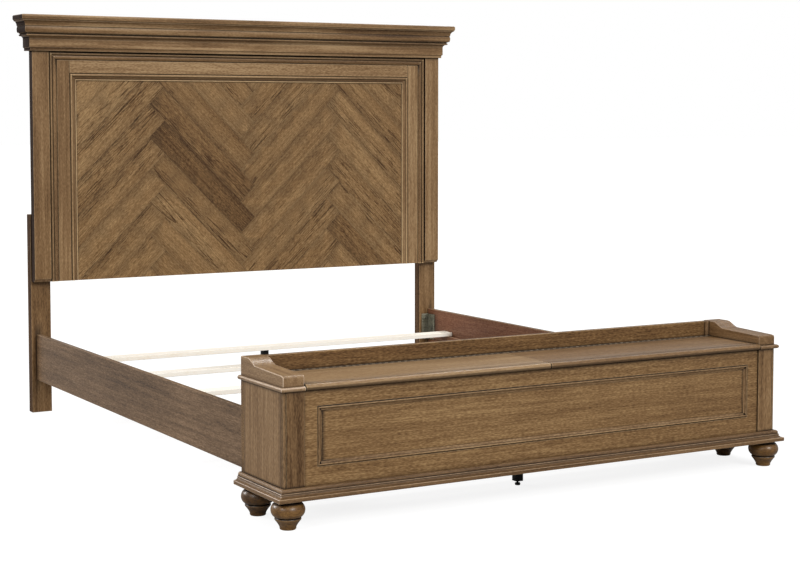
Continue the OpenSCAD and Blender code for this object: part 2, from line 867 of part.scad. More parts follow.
// Walls of the storage bench
module front_post(side) {
    bead_w = post_bead_r * 2;
    color(oak_light) on_side(side) translate([0, 0, floor_z]) linear_extrude(bench_wall_h)
        difference() {
            translate([arm_in, bench_face_y]) square([post_w, post_t]);
            translate([bench_half - bead_w - bead_groove, bench_face_y - past])
                square([bead_groove, bead_groove + past]);
            translate([bench_half - bead_groove, bench_face_y + bead_w])
                square([bead_groove + past, bead_groove]);
            difference() {
                translate([bench_half - post_bead_r, bench_face_y - past])
                    square(post_bead_r + past);
                translate([bench_half - post_bead_r, bench_face_y + post_bead_r]) circle(r = post_bead_r);
            }
        }
}

module left_front_post() {
    front_post(left);
}

module right_front_post() {
    front_post(right);
}

module end_panel(side) {
    color(oak_light) on_side(side) difference() {
        block([end_inner, post_inner_y, floor_z], [bench_half, back_inner_y, bench_wall_z]);
        block([bench_half - end_groove, back_inner_y - end_groove, floor_z - past],
            [bench_half + past, back_inner_y + past, bench_wall_z + past]);
    }
}

module left_end_panel() {
    end_panel(left);
}

module right_end_panel() {
    end_panel(right);
}

module corner_blocks() {
    block_top_z = bench_wall_z - corner_block_down;
    color(pine) both_sides() {
        block([end_inner - corner_block, post_inner_y, floor_z],
            [end_inner, post_inner_y + corner_block, block_top_z]);
        difference() {
            block([end_inner - corner_block, back_inner_y - corner_block, floor_z],
                [end_inner, back_inner_y, block_top_z]);
            for (z = bracket_bolt_z) translate([bracket_bolt_x, 0, z])
                bolt_hole(bench_back_y - bench_bolt_l - bolt_tip_gap, back_inner_y + past);
        }
    }
}

module front_panel() {
    color(oak) difference() {
        block([-arm_in, front_face_y, floor_z], [arm_in, front_inner_y, bench_wall_z - front_gap]);
        block([-frame_half_w, front_face_y - past, frame_low_z],
            [frame_half_w, front_face_y + field_depth, frame_high_z]);
    }
}

// Section of the sticking round the sunk field, X inwards and Y forwards from the field
module sticking_section() {
    low_z = field_depth - bead_sink;
    cove_x0 = quirk_w + 2 * sticking_bead_r;
    cove_z = low_z - bead_sink;
    edge_z = bead_sink / 2;
    polygon(concat([[0, 0], [0, low_z], [quirk_w, low_z]],
        arc(quirk_w + sticking_bead_r, low_z, sticking_bead_r, 180, 0, 6),
        [for (i = [0 : 6]) [cove_x0 + (frame_mould_w - cove_x0) * i / 6,
            edge_z + (cove_z - edge_z) * (1 - sin(90 * i / 6))]], [[frame_mould_w, 0]]));
}

module front_panel_moulding() {
    field_y = front_face_y + field_depth;
    w = frame_mould_w;
    half = frame_half_w;
    cross_half = half - mitre_gap;
    color(oak) {
        both_sides() intersection() {
            translate([half, field_y, frame_low_z]) mirror([1, 0, 0])
                linear_extrude(frame_high_z - frame_low_z) mirror([0, 1]) sticking_section();
            run_y(-far, far) polygon([[half - w, frame_low_z + w], [half, frame_low_z],
                [half, frame_high_z], [half - w, frame_high_z - w]]);
        }
        intersection() {
            translate([-half, field_y, frame_high_z]) rotate([0, 90, 0]) linear_extrude(half * 2)
                mirror([0, 1]) sticking_section();
            run_y(-far, far) polygon([[-cross_half, frame_high_z], [-cross_half + w, frame_high_z - w],
                [cross_half - w, frame_high_z - w], [cross_half, frame_high_z]]);
        }
        intersection() {
            translate([half, field_y, frame_low_z]) rotate([0, -90, 0]) linear_extrude(half * 2)
                mirror([0, 1]) sticking_section();
            run_y(-far, far) polygon([[-cross_half, frame_low_z], [cross_half, frame_low_z],
                [cross_half - w, frame_low_z + w], [-cross_half + w, frame_low_z + w]]);
        }
    }
}

module back_board() {
    color(oak) difference() {
        run_y(back_inner_y, bench_back_y) polygon([[-bench_half, floor_z], [bench_half, floor_z],
            [bench_half, bench_wall_z], [arm_in, bench_wall_z], [arm_in, back_top_z],
            [-arm_in, back_top_z], [-arm_in, bench_wall_z], [-bench_half, bench_wall_z]]);
        both_sides() for (z = bracket_bolt_z) translate([bracket_bolt_x, 0, z])
            bolt_hole(back_inner_y - past, bench_back_y + past);
    }
}

module bottom_board() {
    color(oak_dark) difference() {
        block([-bench_half, bench_face_y, base_z], [bench_half, bench_back_y, floor_z]);
        both_sides() for (y = [bench_face_y + foot_in_front, bench_back_y - foot_in_back])
            translate([bench_half - foot_in_x, y, base_z - past])
                cylinder(r = foot_dowel_r + hole_clearance, h = foot_dowel_l + past + hole_clearance);
    }
}

module centre_divider() {
    color(oak_dark) block([-divider_t / 2, front_inner_y, floor_z],
        [divider_t / 2, back_inner_y, bench_wall_z]);
}

// The scrolled arm on top of a bench end, with the bead round its foot
module arm(side) {
    back_z = bench_wall_z + arm_back_h;
    front_z = bench_wall_z + arm_front_h;
    low_z = bench_wall_z + arm_low_h;
    curve_end = arm_flat + arm_curve;
    bead_z = bench_wall_z + arm_bead_h / 2;
    color(oak_light) on_side(side) union() {
        run_x(arm_in, bench_half) translate([bench_back_y, 0]) mirror([1, 0])
            polygon(concat([[0, bench_wall_z], [0, back_z]],
                s_curve(arm_flat, back_z, curve_end, low_z, 10),
                [[bench_d - arm_round * 2, front_z + (low_z - front_z) / 6]],
                arc(bench_d - arm_round, front_z - arm_round, arm_round, 90, 0, 6),
                [[bench_d, bench_wall_z]]));
        intersection() {
            run_y(bench_face_y - far, bench_back_y) {
                translate([arm_in, bench_wall_z]) square([post_w, arm_bead_h]);
                bead_tip(bench_half, bead_z);
            }
            run_x(arm_in, far) mirror([1, 0]) {
                translate([-bench_back_y, bench_wall_z]) square([bench_d, arm_bead_h]);
                bead_tip(-bench_face_y, bead_z);
            }
        }
    }
}

// The bead's section past the face at x: a flat neck and a round nose
module bead_tip(x, z) {
    nose_r = arm_bead_h / 2;
    translate([x - past, z - nose_r]) square([arm_bead_out - nose_r + past, arm_bead_h]);
    translate([x + arm_bead_out - nose_r, z]) circle(r = nose_r);
}

module left_arm() {
    arm(left);
}

module right_arm() {
    arm(right);
}

// Rail behind the lids, and the quarter round beads that stand on its ends
module hinge_rail() {
    color(oak) block([-arm_in, hinge_rail_y, bench_wall_z], [arm_in, back_inner_y, lid_top_z]);
}

module corner_beads() {
    color(oak_light) both_sides() translate([0, 0, lid_top_z]) linear_extrude(back_top_z - lid_top_z)
        intersection() {
            translate([arm_in, back_inner_y]) circle(r = corner_bead_r);
            translate([arm_in - corner_bead_r, back_inner_y - corner_bead_r]) square(corner_bead_r);
        }
}

// Base moulding along the front and both ends, mitred at the front corners
module base_section() {
    band_x = base_out - base_band_round;
    cove_x = base_out * 0.5;
    cove_z = base_h * 0.58;
    top_x = cove_x - base_quirk;
    polygon(concat([[0, 0], [base_out, 0]],
        arc(band_x, base_band_h - base_band_round, base_band_round, 0, 90, 4),
        [for (i = [1 : 5]) [band_x - (band_x - cove_x) * sin(15 * i),
            base_band_h + (cove_z - base_band_h) * (1 - cos(15 * i))]],
        arc(cove_x, cove_z + base_bead_r, base_bead_r, -90, 90, 6),
        [[top_x, cove_z + 2 * base_bead_r]],
        arc(top_x - base_top_round, base_h - base_top_round, base_top_round, 0, 90, 6), [[0, base_h]]));
}

module base_moulding_front() {
    reach = bench_half + base_out;
    color(oak) intersection() {
        run_x(-reach, reach) translate([bench_face_y, base_z]) mirror([1, 0]) base_section();
        linear_extrude(far) polygon([[-reach, bench_face_y - base_out], [reach, bench_face_y - base_out],
            [bench_half, bench_face_y], [-bench_half, bench_face_y]]);
    }
}

module base_moulding_end(side) {
    reach = bench_half + base_out;
    color(oak) on_side(side) intersection() {
        run_y(bench_face_y - base_out, bench_back_y) translate([bench_half, base_z]) base_section();
        linear_extrude(far) polygon([[bench_half, bench_face_y], [reach, bench_face_y - base_out],
            [reach, bench_back_y], [bench_half, bench_back_y]]);
    }
}

module base_moulding_left() {
    base_moulding_end(left);
}

module base_moulding_right() {
    base_moulding_end(right);
}

// Turned bun foot with its dowel
module bun_foot() {
    ball_x = foot_ball_r - foot_ball_round;
    ball_z = foot_h - foot_neck_h - foot_ball_round;
    groove_z = ball_z - foot_ball_round * sin(ball_low_angle) - foot_groove_h;
    ring_x = foot_ring_r - ring_round;
    ring_z = groove_z - foot_groove_h - ring_round;
    taper_x = ring_x + ring_round * cos(45);
    taper_z = ring_z - ring_round * sin(45);
    color(oak) rotate_extrude() polygon(concat(
        [[0, 0], [foot_base_r - foot_chamfer_in, 0], [foot_base_r, foot_chamfer]],
        [for (i = [0 : 5]) [foot_base_r + (taper_x - foot_base_r) * pow(i / 6, foot_taper_bend),
            foot_plinth_h + (taper_z - foot_plinth_h) * i / 6]],
        arc(ring_x, ring_z, ring_round, -45, 90, 8), [[foot_ring_r - ring_step, groove_z]],
        arc(ball_x, ball_z, foot_ball_round, -ball_low_angle, ball_high_angle, 14),
        [[ball_x + foot_neck_step, foot_h], [foot_dowel_r, foot_h],
        [foot_dowel_r, foot_h + foot_dowel_l], [0, foot_h + foot_dowel_l]]));
}

module left_front_foot() {
    translate([-bench_half + foot_in_x, bench_face_y + foot_in_front, 0]) bun_foot();
}

module right_front_foot() {
    translate([bench_half - foot_in_x, bench_face_y + foot_in_front, 0]) bun_foot();
}

module left_back_foot() {
    translate([-bench_half + foot_in_x, bench_back_y - foot_in_back, 0]) bun_foot();
}

module right_back_foot() {
    translate([bench_half - foot_in_x, bench_back_y - foot_in_back, 0]) bun_foot();
}

// Lids and their piano hinges
module lid(side) {
    nose_r = lid_t / 2;
    front_y = bench_face_y - lid_out;
    color(oak_light) on_side(side) run_x(lid_x0, lid_x1) difference() {
        union() {
            translate([front_y + nose_r, bench_wall_z]) square([lid_back_y - front_y - nose_r, lid_t]);
            translate([front_y + nose_r, bench_wall_z + nose_r]) circle(r = nose_r);
        }
        translate([front_y + lid_groove_in, lid_top_z - lid_groove]) square([lid_groove, lid_groove + past]);
    }
}

module left_lid() {
    lid(left);
}

module right_lid() {
    lid(right);
}

// Knuckles of one leaf, every second one from the given start, with the webs that join its leaf.
// The leaf lies behind the pin where back is 1, and before it where back is -1.
module leaf(start, back) {
    knuckle_l = knuckle_pitch - knuckle_gap;
    bore_r = pin_r + pin_clearance;
    web_t = knuckle_r - bore_r - leaf_play;
    difference() {
        union() {
            for (k = [start : 2 : knuckle_count - 1])
                translate([lid_x0 + k * knuckle_pitch + knuckle_gap / 2, 0, 0]) {
                    rotate([0, 90, 0]) cylinder(r = knuckle_r, h = knuckle_l);
                    translate([0, back > 0 ? 0 : -leaf_out, -knuckle_r])
                        cube([knuckle_l, leaf_out, web_t]);
                }
            translate([lid_x0, back > 0 ? leaf_out - leaf_t : -leaf_out, -leaf_h])
                cube([lid_x1 - lid_x0, leaf_t, leaf_h - bore_r]);
        }
        translate([lid_x0 - past, 0, 0]) rotate([0, 90, 0])
            cylinder(r = bore_r, h = lid_x1 - lid_x0 + 2 * past);
    }
}

module hinge_fixed_leaves() {
    color(steel) both_sides() translate([0, hinge_y, hinge_z]) leaf(0, 1);
}

module left_hinge_leaf() {
    color(steel) on_side(left) translate([0, hinge_y, hinge_z]) leaf(1, -1);
}

module right_hinge_leaf() {
    color(steel) on_side(right) translate([0, hinge_y, hinge_z]) leaf(1, -1);
}

module hinge_pins() {
    color(steel) both_sides() translate([lid_x0, hinge_y, hinge_z]) rotate([0, 90, 0])
        cylinder(r = pin_r, h = lid_x1 - lid_x0);
}

crown_cap();
crown_cornice();
crown_bed_mould();
crown_frieze();
headboard_core();
herringbone_veneer();
left_stile();
right_stile();
top_rail();
inner_moulding();
outer_moulding();
left_pilaster();
right_pilaster();
left_headboard_leg();
right_headboard_leg();
hex_bolts();
left_side_rail();
right_side_rail();
left_slat_cleat();
right_slat_cleat();
rail_brackets();
wood_screws();
slat_1();
slat_2();
slat_3();
slat_4();
slat_legs();
slat_glide_1();
slat_glide_2();
slat_glide_3();
slat_glide_4();
left_end_panel();
right_end_panel();
left_front_post();
right_front_post();
corner_blocks();
front_panel();
front_panel_moulding();
back_board();
left_arm();
right_arm();
base_moulding_front();
base_moulding_left();
base_moulding_right();
bottom_board();
centre_divider();
bench_leg();
bench_glide();
hinge_rail();
corner_beads();
left_lid();
right_lid();
hinge_fixed_leaves();
left_hinge_leaf();
right_hinge_leaf();
hinge_pins();
left_front_foot();
right_front_foot();
left_back_foot();
right_back_foot();
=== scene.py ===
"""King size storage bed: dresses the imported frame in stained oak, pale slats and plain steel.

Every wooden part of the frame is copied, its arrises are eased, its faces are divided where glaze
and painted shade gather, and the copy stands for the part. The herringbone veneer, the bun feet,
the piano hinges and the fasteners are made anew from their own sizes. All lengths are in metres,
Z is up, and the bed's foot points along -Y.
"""

from __future__ import annotations

import json
import logging
import math
import random
from dataclasses import dataclass, field, replace
from enum import Enum
from typing import Any, Callable, Sequence, Union

import bmesh
import bpy
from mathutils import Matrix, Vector
from mathutils.bvhtree import BVHTree

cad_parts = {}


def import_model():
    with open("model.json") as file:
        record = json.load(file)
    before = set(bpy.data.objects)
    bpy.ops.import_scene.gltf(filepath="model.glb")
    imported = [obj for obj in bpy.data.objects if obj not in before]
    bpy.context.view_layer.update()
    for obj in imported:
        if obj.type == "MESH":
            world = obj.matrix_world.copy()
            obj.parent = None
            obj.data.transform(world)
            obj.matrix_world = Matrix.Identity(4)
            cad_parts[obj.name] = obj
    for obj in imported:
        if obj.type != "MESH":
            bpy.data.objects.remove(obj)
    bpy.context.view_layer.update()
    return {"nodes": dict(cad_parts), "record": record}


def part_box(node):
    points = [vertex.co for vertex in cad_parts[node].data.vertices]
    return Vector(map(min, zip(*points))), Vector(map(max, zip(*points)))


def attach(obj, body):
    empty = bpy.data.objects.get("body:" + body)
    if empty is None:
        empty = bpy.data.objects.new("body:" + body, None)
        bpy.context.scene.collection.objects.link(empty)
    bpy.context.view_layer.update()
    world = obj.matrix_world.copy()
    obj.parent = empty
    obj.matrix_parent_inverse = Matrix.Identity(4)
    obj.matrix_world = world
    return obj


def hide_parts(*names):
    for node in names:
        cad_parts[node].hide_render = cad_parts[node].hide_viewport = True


LOG = logging.getLogger("storage_bed")
MM = 0.001

Colour = tuple[float, float, float]
Value = Union["Sock", float]


def linear(colour: Colour, alpha: float = 1.0) -> tuple[float, float, float, float]:
    """Turns a display colour, 0 to 255, into Blender's linear values by the sRGB curve.

    Args:
        colour: Red, green and blue as a display shows them.
        alpha: Opacity of the result.

    Returns:
        Linear red, green, blue and alpha.
    """
    parts = (c / 255.0 for c in colour)
    r, g, b = (c / 12.92 if c <= 0.04045 else ((c + 0.055) / 1.055) ** 2.4 for c in parts)
    return r, g, b, alpha


class Sock:
    """One output socket of a node tree that can be calculated with."""

    def __init__(self, tree: Tree, socket: bpy.types.NodeSocket) -> None:
        """Keeps the socket together with the tree that it belongs to."""
        self.tree = tree
        self.socket = socket

    def _math(self, operation: str, *values: Value) -> Sock:
        """Adds one Math node of an operation on values and returns its result."""
        return self.tree.node("ShaderNodeMath", {"operation": operation}, dict(enumerate(values)))

    def __add__(self, other: Value) -> Sock:
        """self + other."""
        return self._math("ADD", self, other)

    __radd__ = __add__

    def __sub__(self, other: Value) -> Sock:
        """self - other."""
        return self._math("SUBTRACT", self, other)

    def __rsub__(self, other: Value) -> Sock:
        """other - self."""
        return self._math("SUBTRACT", other, self)

    def __mul__(self, other: Value) -> Sock:
        """self * other."""
        return self._math("MULTIPLY", self, other)

    __rmul__ = __mul__

    def __truediv__(self, other: Value) -> Sock:
        """self / other."""
        return self._math("DIVIDE", self, other)

    def __pow__(self, power: float) -> Sock:
        """self raised to a power."""
        return self._math("POWER", self, power)

    def fract(self) -> Sock:
        """The part after the point."""
        return self._math("FRACT", self)

    def absolute(self) -> Sock:
        """The value without its sign."""
        return self._math("ABSOLUTE", self)

    def rise(self, low: float, high: float) -> Sock:
        """A smooth step from 0 at low to 1 at high."""
        return self.tree.node("ShaderNodeMapRange", {"interpolation_type": "SMOOTHSTEP"},
                              {"Value": self, "From Min": low, "From Max": high})

    def held(self) -> Sock:
        """The value, kept between 0 and 1."""
        return self.tree.node("ShaderNodeClamp", {}, {"Value": self})


class Tree:
    """A shader or geometry node tree that is written as expressions."""

    def __init__(self, tree: bpy.types.NodeTree) -> None:
        """Starts on an empty tree."""
        self.tree = tree
        tree.nodes.clear()

    def node(self, kind: str, settings: dict[str, Any] | None = None,
             inputs: dict[int | str, Any] | None = None, output: int | str = 0) -> Sock:
        """Adds a node.

        Args:
            kind: The node's type name.
            settings: Its properties; "stops" holds a colour ramp's (place, colour) pairs.
            inputs: Values or sockets for its inputs, by name or number.
            output: The output that is returned.

        Returns:
            The chosen output socket.
        """
        made = self.tree.nodes.new(kind)
        for name, value in (settings or {}).items():
            if name == "stops":
                self._set_stops(made.color_ramp, value)
            else:
                setattr(made, name, value)
        for key, value in (inputs or {}).items():
            if isinstance(value, Sock):
                self.tree.links.new(value.socket, made.inputs[key])
            else:
                made.inputs[key].default_value = value
        return Sock(self, made.outputs[output] if made.outputs else None)

    @staticmethod
    def _set_stops(ramp: bpy.types.ColorRamp, stops: Sequence[tuple[float, Colour]]) -> None:
        """Puts (place, display colour) pairs into a colour ramp.

        Args:
            ramp: The ramp.
            stops: Its pairs, in order of place.
        """
        while len(ramp.elements) < len(stops):
            ramp.elements.new(1.0)
        for element, (place, colour) in zip(ramp.elements, stops):
            element.position = place
            element.color = linear(colour)

    def attribute(self, name: str, output: str = "Fac") -> Sock:
        """A mesh attribute by name, as a number or with output "Vector" as a vector."""
        return self.node("ShaderNodeAttribute", {"attribute_name": name}, {}, output)

    def place(self) -> Sock:
        """The place on the object, in metres."""
        return self.node("ShaderNodeTexCoord", {}, {}, "Object")

    def combine(self, x: Value, y: Value, z: Value) -> Sock:
        """A vector of three values."""
        return self.node("ShaderNodeCombineXYZ", {}, {"X": x, "Y": y, "Z": z})

    def split(self, vector: Sock) -> tuple[Sock, Sock, Sock]:
        """The three values of a vector.

        Args:
            vector: The vector.

        Returns:
            Its X, Y and Z.
        """
        x = self.node("ShaderNodeSeparateXYZ", {}, {"Vector": vector})
        y, z = (Sock(self, x.socket.node.outputs[i]) for i in (1, 2))
        return x, y, z

    def mix(self, factor: Value, a: Any, b: Any) -> Sock:
        """A colour between a and b."""
        return self.node("ShaderNodeMix", {"data_type": "RGBA"}, {0: factor, 6: a, 7: b}, 2)

    def noise(self, vector: Sock, detail: float = 2.0, scale: float = 1.0) -> Sock:
        """Noise about 0, from -0.5 to 0.5."""
        inputs = {"Vector": vector, "Scale": scale, "Detail": detail}
        return self.node("ShaderNodeTexNoise", {}, inputs) - 0.5

    def bump(self, height: Sock, strength: float, depth: float) -> Sock:
        """The surface's direction, tilted by a height."""
        return self.node("ShaderNodeBump", {}, {"Strength": strength, "Distance": depth, "Height": height})


def direct_view(tree: Tree) -> Sock:
    """1 for rays that come straight from the camera or through clear matter, else 0.

    Args:
        tree: Tree of the floor's material or of the world.

    Returns:
        The value.
    """
    path = tree.node("ShaderNodeLightPath").socket.node
    camera, through = (Sock(tree, path.outputs[f"Is {kind} Ray"]) for kind in ("Camera", "Transmission"))
    return (camera + through).held()


class Grain(Enum):
    """Direction in which a part's wood fibres run."""

    ACROSS = "across"
    LENGTHWISE = "lengthwise"
    UPRIGHT = "upright"
    PLANK = "plank"


class Finish:
    """Base of all finishes: makes one material on first use and keeps it."""

    _made: dict[str, bpy.types.Material] = {}
    name: str

    def material(self) -> bpy.types.Material:
        """The finish's material.

        Returns:
            The material, the same one on every call.
        """
        if self.name not in Finish._made:
            made = bpy.data.materials.new(self.name)
            made.use_nodes = True
            tree = Tree(made.node_tree)
            tree.node("ShaderNodeOutputMaterial", {}, {"Surface": self.surface(tree)})
            Finish._made[self.name] = made
        return Finish._made[self.name]

    def surface(self, tree: Tree) -> Sock:
        """Builds the shader."""
        raise NotImplementedError


RUN_SHIFT = 3.7


@dataclass(frozen=True)
class Layer:
    """One layer of noise in a wood's figure, and how strongly it shows.

    along and across are its places per metre along and across the fibres, shift sets it off from
    the other layers, and detail is its octaves. light, dirt, rub and relief say how much it changes
    the wood's brightness, its glaze and painted shade, its wear and painted highlights, and its height.
    """

    along: float
    across: float
    shift: float = 0.0
    detail: float = 1.0
    light: float = 0.0
    dirt_and_shade: float = 0.0
    rub_and_highlight: float = 0.0
    relief: float = 0.0

    def noise(self, tree: Tree, axes: tuple[Sock, Sock, Sock], shift: Sock) -> Sock:
        """Noise drawn out along the fibres, set off by the piece's own shift.

        Args:
            tree: The material's tree.
            axes: Place along the fibres, across them and into the board.
            shift: The piece's number, which gives it a figure of its own.

        Returns:
            The noise, about 0.
        """
        run, side, into = axes
        shift = shift + self.shift
        spot = tree.combine((run + shift * RUN_SHIFT) * self.along, (side + shift) * self.across,
                            (into - shift) * self.across)
        return tree.noise(spot, self.detail)


BOARD = Layer(0.8, 8.0, light=0.35)
STREAK = Layer(1.6, 60.0, 2.0, light=0.6, dirt_and_shade=0.8)
LINE = Layer(9.0, 240.0, 3.0, light=0.6)
DASH = Layer(76.0, 340.0, 4.0, light=1.1, rub_and_highlight=1.6, relief=0.5)
FIBRE = Layer(25.0, 1100.0, 6.0, 2.0, light=0.4, relief=0.5)
WANDER = Layer(1.6, 6.0, 8.0, 0.6)
CLOUD = Layer(3.1, 3.1, detail=2.0, light=0.25, dirt_and_shade=0.8, rub_and_highlight=1.2)


@dataclass(frozen=True)
class Rings:
    """How growth rings are drawn.

    late and end bound a ring's dark part, wobble is how far streaks move it, and by_board, by_line
    and always say where rings show. On a plank, heart and heart_turn lay the rings' middle aside,
    arch bends them into arches and run_out makes them end along the plank.
    """

    late: float = 0.74
    end: float = 0.95
    wobble: float = 0.5
    by_board: float = 4.0
    by_line: float = 1.6
    always: float = 0.1
    heart: float = 0.09
    heart_turn: float = 1.7
    arch: float = 34.0
    run_out: float = 0.09


@dataclass(frozen=True)
class Wood(Finish):
    """Stained and lacquered wood whose fibres follow the part.

    Colours are display colours at plain light. rings is how many growth rings lie across a metre,
    sway how many rings the fibres wander, figure how dark the rings are, and fleck, streak and
    veins how strongly short dashes, long streaks and thin dark lines show. shine is the gloss of
    the stained wood, coat and coat_roughness belong to the lacquer on it.
    """

    name: str
    grain: Grain
    deep: Colour = (72, 48, 24)
    mid: Colour = (127, 97, 64)
    pale: Colour = (170, 140, 102)
    # The glaze colour darkens where the surroundings close the surface in: glaze, and painted shade in
    # corners and under overhangs.
    glaze: Colour = (28, 17, 8)
    # The worn colour lightens arrises and beads: wear, and painted highlights.
    worn_and_lit: Colour = (194, 164, 124)
    figure: float = 0.2
    figure_lift: float = 0.15
    rings: float = 52.0
    ring_shape: Rings = Rings()
    sway: float = 12.0
    fleck: float = 1.0
    streak: float = 1.0
    veins: float = 0.0
    vein_line: tuple[float, float] = (0.06, 0.12)
    vein_board: tuple[float, float] = (-0.05, 0.1)
    glaze_and_shade_amount: float = 1.0
    wear_and_highlight_amount: float = 0.6
    roughness: float = 0.42
    rough_glaze: float = 0.25
    rough_dash: float = 0.2
    coat: float = 0.05
    coat_roughness: float = 0.16
    shine: float = 0.22
    relief: float = 0.3
    relief_depth: float = 0.4 * MM
    late_sunk: float = 0.3

    def _fibre_axes(self, tree: Tree) -> tuple[Sock, Sock, Sock]:
        """Place along the fibres, across them and into the board.

        Args:
            tree: The material's tree.

        Returns:
            The three places, in metres.
        """
        if self.grain is Grain.PLANK:
            return tree.split(tree.attribute("fibre", "Vector"))
        x, y, z = tree.split(tree.place())
        return {Grain.ACROSS: (x, z, y), Grain.LENGTHWISE: (y, z, x), Grain.UPRIGHT: (z, x, y)}[self.grain]

    def _late_wood(self, tree: Tree, axes: tuple[Sock, Sock, Sock], shift: Sock, streak: Sock) -> Sock:
        """The dark part of the growth rings.

        Args:
            tree: The material's tree.
            axes: Place along the fibres, across them and into the board.
            shift: The piece's own number.
            streak: The layer of long streaks.

        Returns:
            1 in late wood, 0 in early wood.
        """
        shape = self.ring_shape
        across = axes[1] + axes[2]
        if self.grain is Grain.PLANK:
            middle = ((shift * shape.heart_turn).fract() - 0.5) * shape.heart
            across = (axes[1] + middle) ** 2.0 * shape.arch + axes[0] * shape.run_out
        wander = WANDER.noise(tree, axes, shift)
        ring = (wander * self.sway + across * self.rings + streak * shape.wobble).fract()
        return ring.rise(shape.late, shape.end) * (1.0 - ring.rise(shape.end, 1.0))

    def surface(self, tree: Tree) -> Sock:
        """Rings, streaks and dashes, with glaze and painted shade in the corners, and arrises lightened by
        wear and painted highlights.

        Args:
            tree: The material's tree.

        Returns:
            The shader.
        """
        axes = self._fibre_axes(tree)
        shift, tone, glaze, wear = (tree.attribute(name) for name in ("shift", "tone", "glaze", "wear"))
        board, streak, line, dash, fibre = (
            layer.noise(tree, axes, shift) for layer in (BOARD, STREAK, LINE, DASH, FIBRE))
        cloud = tree.noise(tree.combine(*axes), CLOUD.detail, CLOUD.along)
        late = self._late_wood(tree, axes, shift, streak)
        shape = self.ring_shape
        shown = (board * shape.by_board + line * shape.by_line + shape.always).held()

        light = (0.5 + self.figure * self.figure_lift + tone
                 + (board * BOARD.light + streak * STREAK.light + cloud * CLOUD.light) * self.streak
                 + (line * LINE.light + dash * DASH.light) * self.fleck + fibre * FIBRE.light
                 - late * shown * self.figure)
        if self.veins:
            light = light - line.rise(*self.vein_line) * board.rise(*self.vein_board) * self.veins
        stops = [(0.0, self.deep), (0.5, self.mid), (1.0, self.pale)]
        colour = tree.node("ShaderNodeValToRGB", {"stops": stops}, {"Fac": light.held()})
        # Glaze and painted shade where the surroundings close the surface in, wear and painted highlights on
        # arrises.
        dirt_and_shade = (glaze * (1.0 + cloud * CLOUD.dirt_and_shade + streak * STREAK.dirt_and_shade) * self.glaze_and_shade_amount).held()
        worn_and_lit = (wear * (1.0 + cloud * CLOUD.rub_and_highlight + dash * DASH.rub_and_highlight) * self.wear_and_highlight_amount).held()
        colour = tree.mix(worn_and_lit, colour, linear(self.worn_and_lit))
        colour = tree.mix(dirt_and_shade, colour, linear(self.glaze))
        rough = self.roughness - dash * self.rough_dash + glaze * self.rough_glaze
        height = dash * DASH.relief + fibre * FIBRE.relief - late * self.late_sunk
        return tree.node("ShaderNodeBsdfPrincipled", {}, {
            "Base Color": colour, "Roughness": rough.held(),
            "Normal": tree.bump(height, self.relief, self.relief_depth),
            "Specular IOR Level": self.shine, "Coat Weight": self.coat,
            "Coat Roughness": self.coat_roughness})


@dataclass(frozen=True)
class Paint(Finish):
    """Sprayed paint on steel: even, with a faint skin and arrises lightened by wear and painted highlights.

    skin and dust are the noise scales of the paint's skin and of the dust on it; skin_relief and
    skin_depth give the skin's height, dust_share and dust_lift how much dust there is and how pale.
    """

    name: str
    colour: Colour = (13, 12, 11)
    rubbed_and_lit: Colour = (52, 48, 45)
    roughness: float = 0.46
    shine: float = 0.25
    skin: float = 900.0
    skin_relief: float = 0.2
    skin_depth: float = 0.2 * MM
    dust: float = 18.0
    dust_share: float = 0.35
    dust_lift: float = 1.5
    dust_roughness: float = 0.3
    wear_and_highlight_amount: float = 0.6

    def surface(self, tree: Tree) -> Sock:
        """Fine orange skin, dust clouds and lighter arrises.

        Args:
            tree: The material's tree.

        Returns:
            The shader.
        """
        place = tree.place()
        skin = tree.noise(place, 2.0, self.skin)
        dust = tree.noise(place, 4.0, self.dust)
        dusty = linear(tuple(c * self.dust_lift for c in self.colour))
        colour = tree.mix((dust + self.dust_share).held(), linear(self.colour), dusty)
        patches = 0.5 + dust * 2.0
        rubbed_and_lit = (tree.attribute("wear") * patches * self.wear_and_highlight_amount).held()
        colour = tree.mix(rubbed_and_lit, colour, linear(self.rubbed_and_lit))
        return tree.node("ShaderNodeBsdfPrincipled", {}, {
            "Base Color": colour, "Roughness": (self.roughness + dust * self.dust_roughness).held(),
            "Normal": tree.bump(skin, self.skin_relief, self.skin_depth), "Specular IOR Level": self.shine})


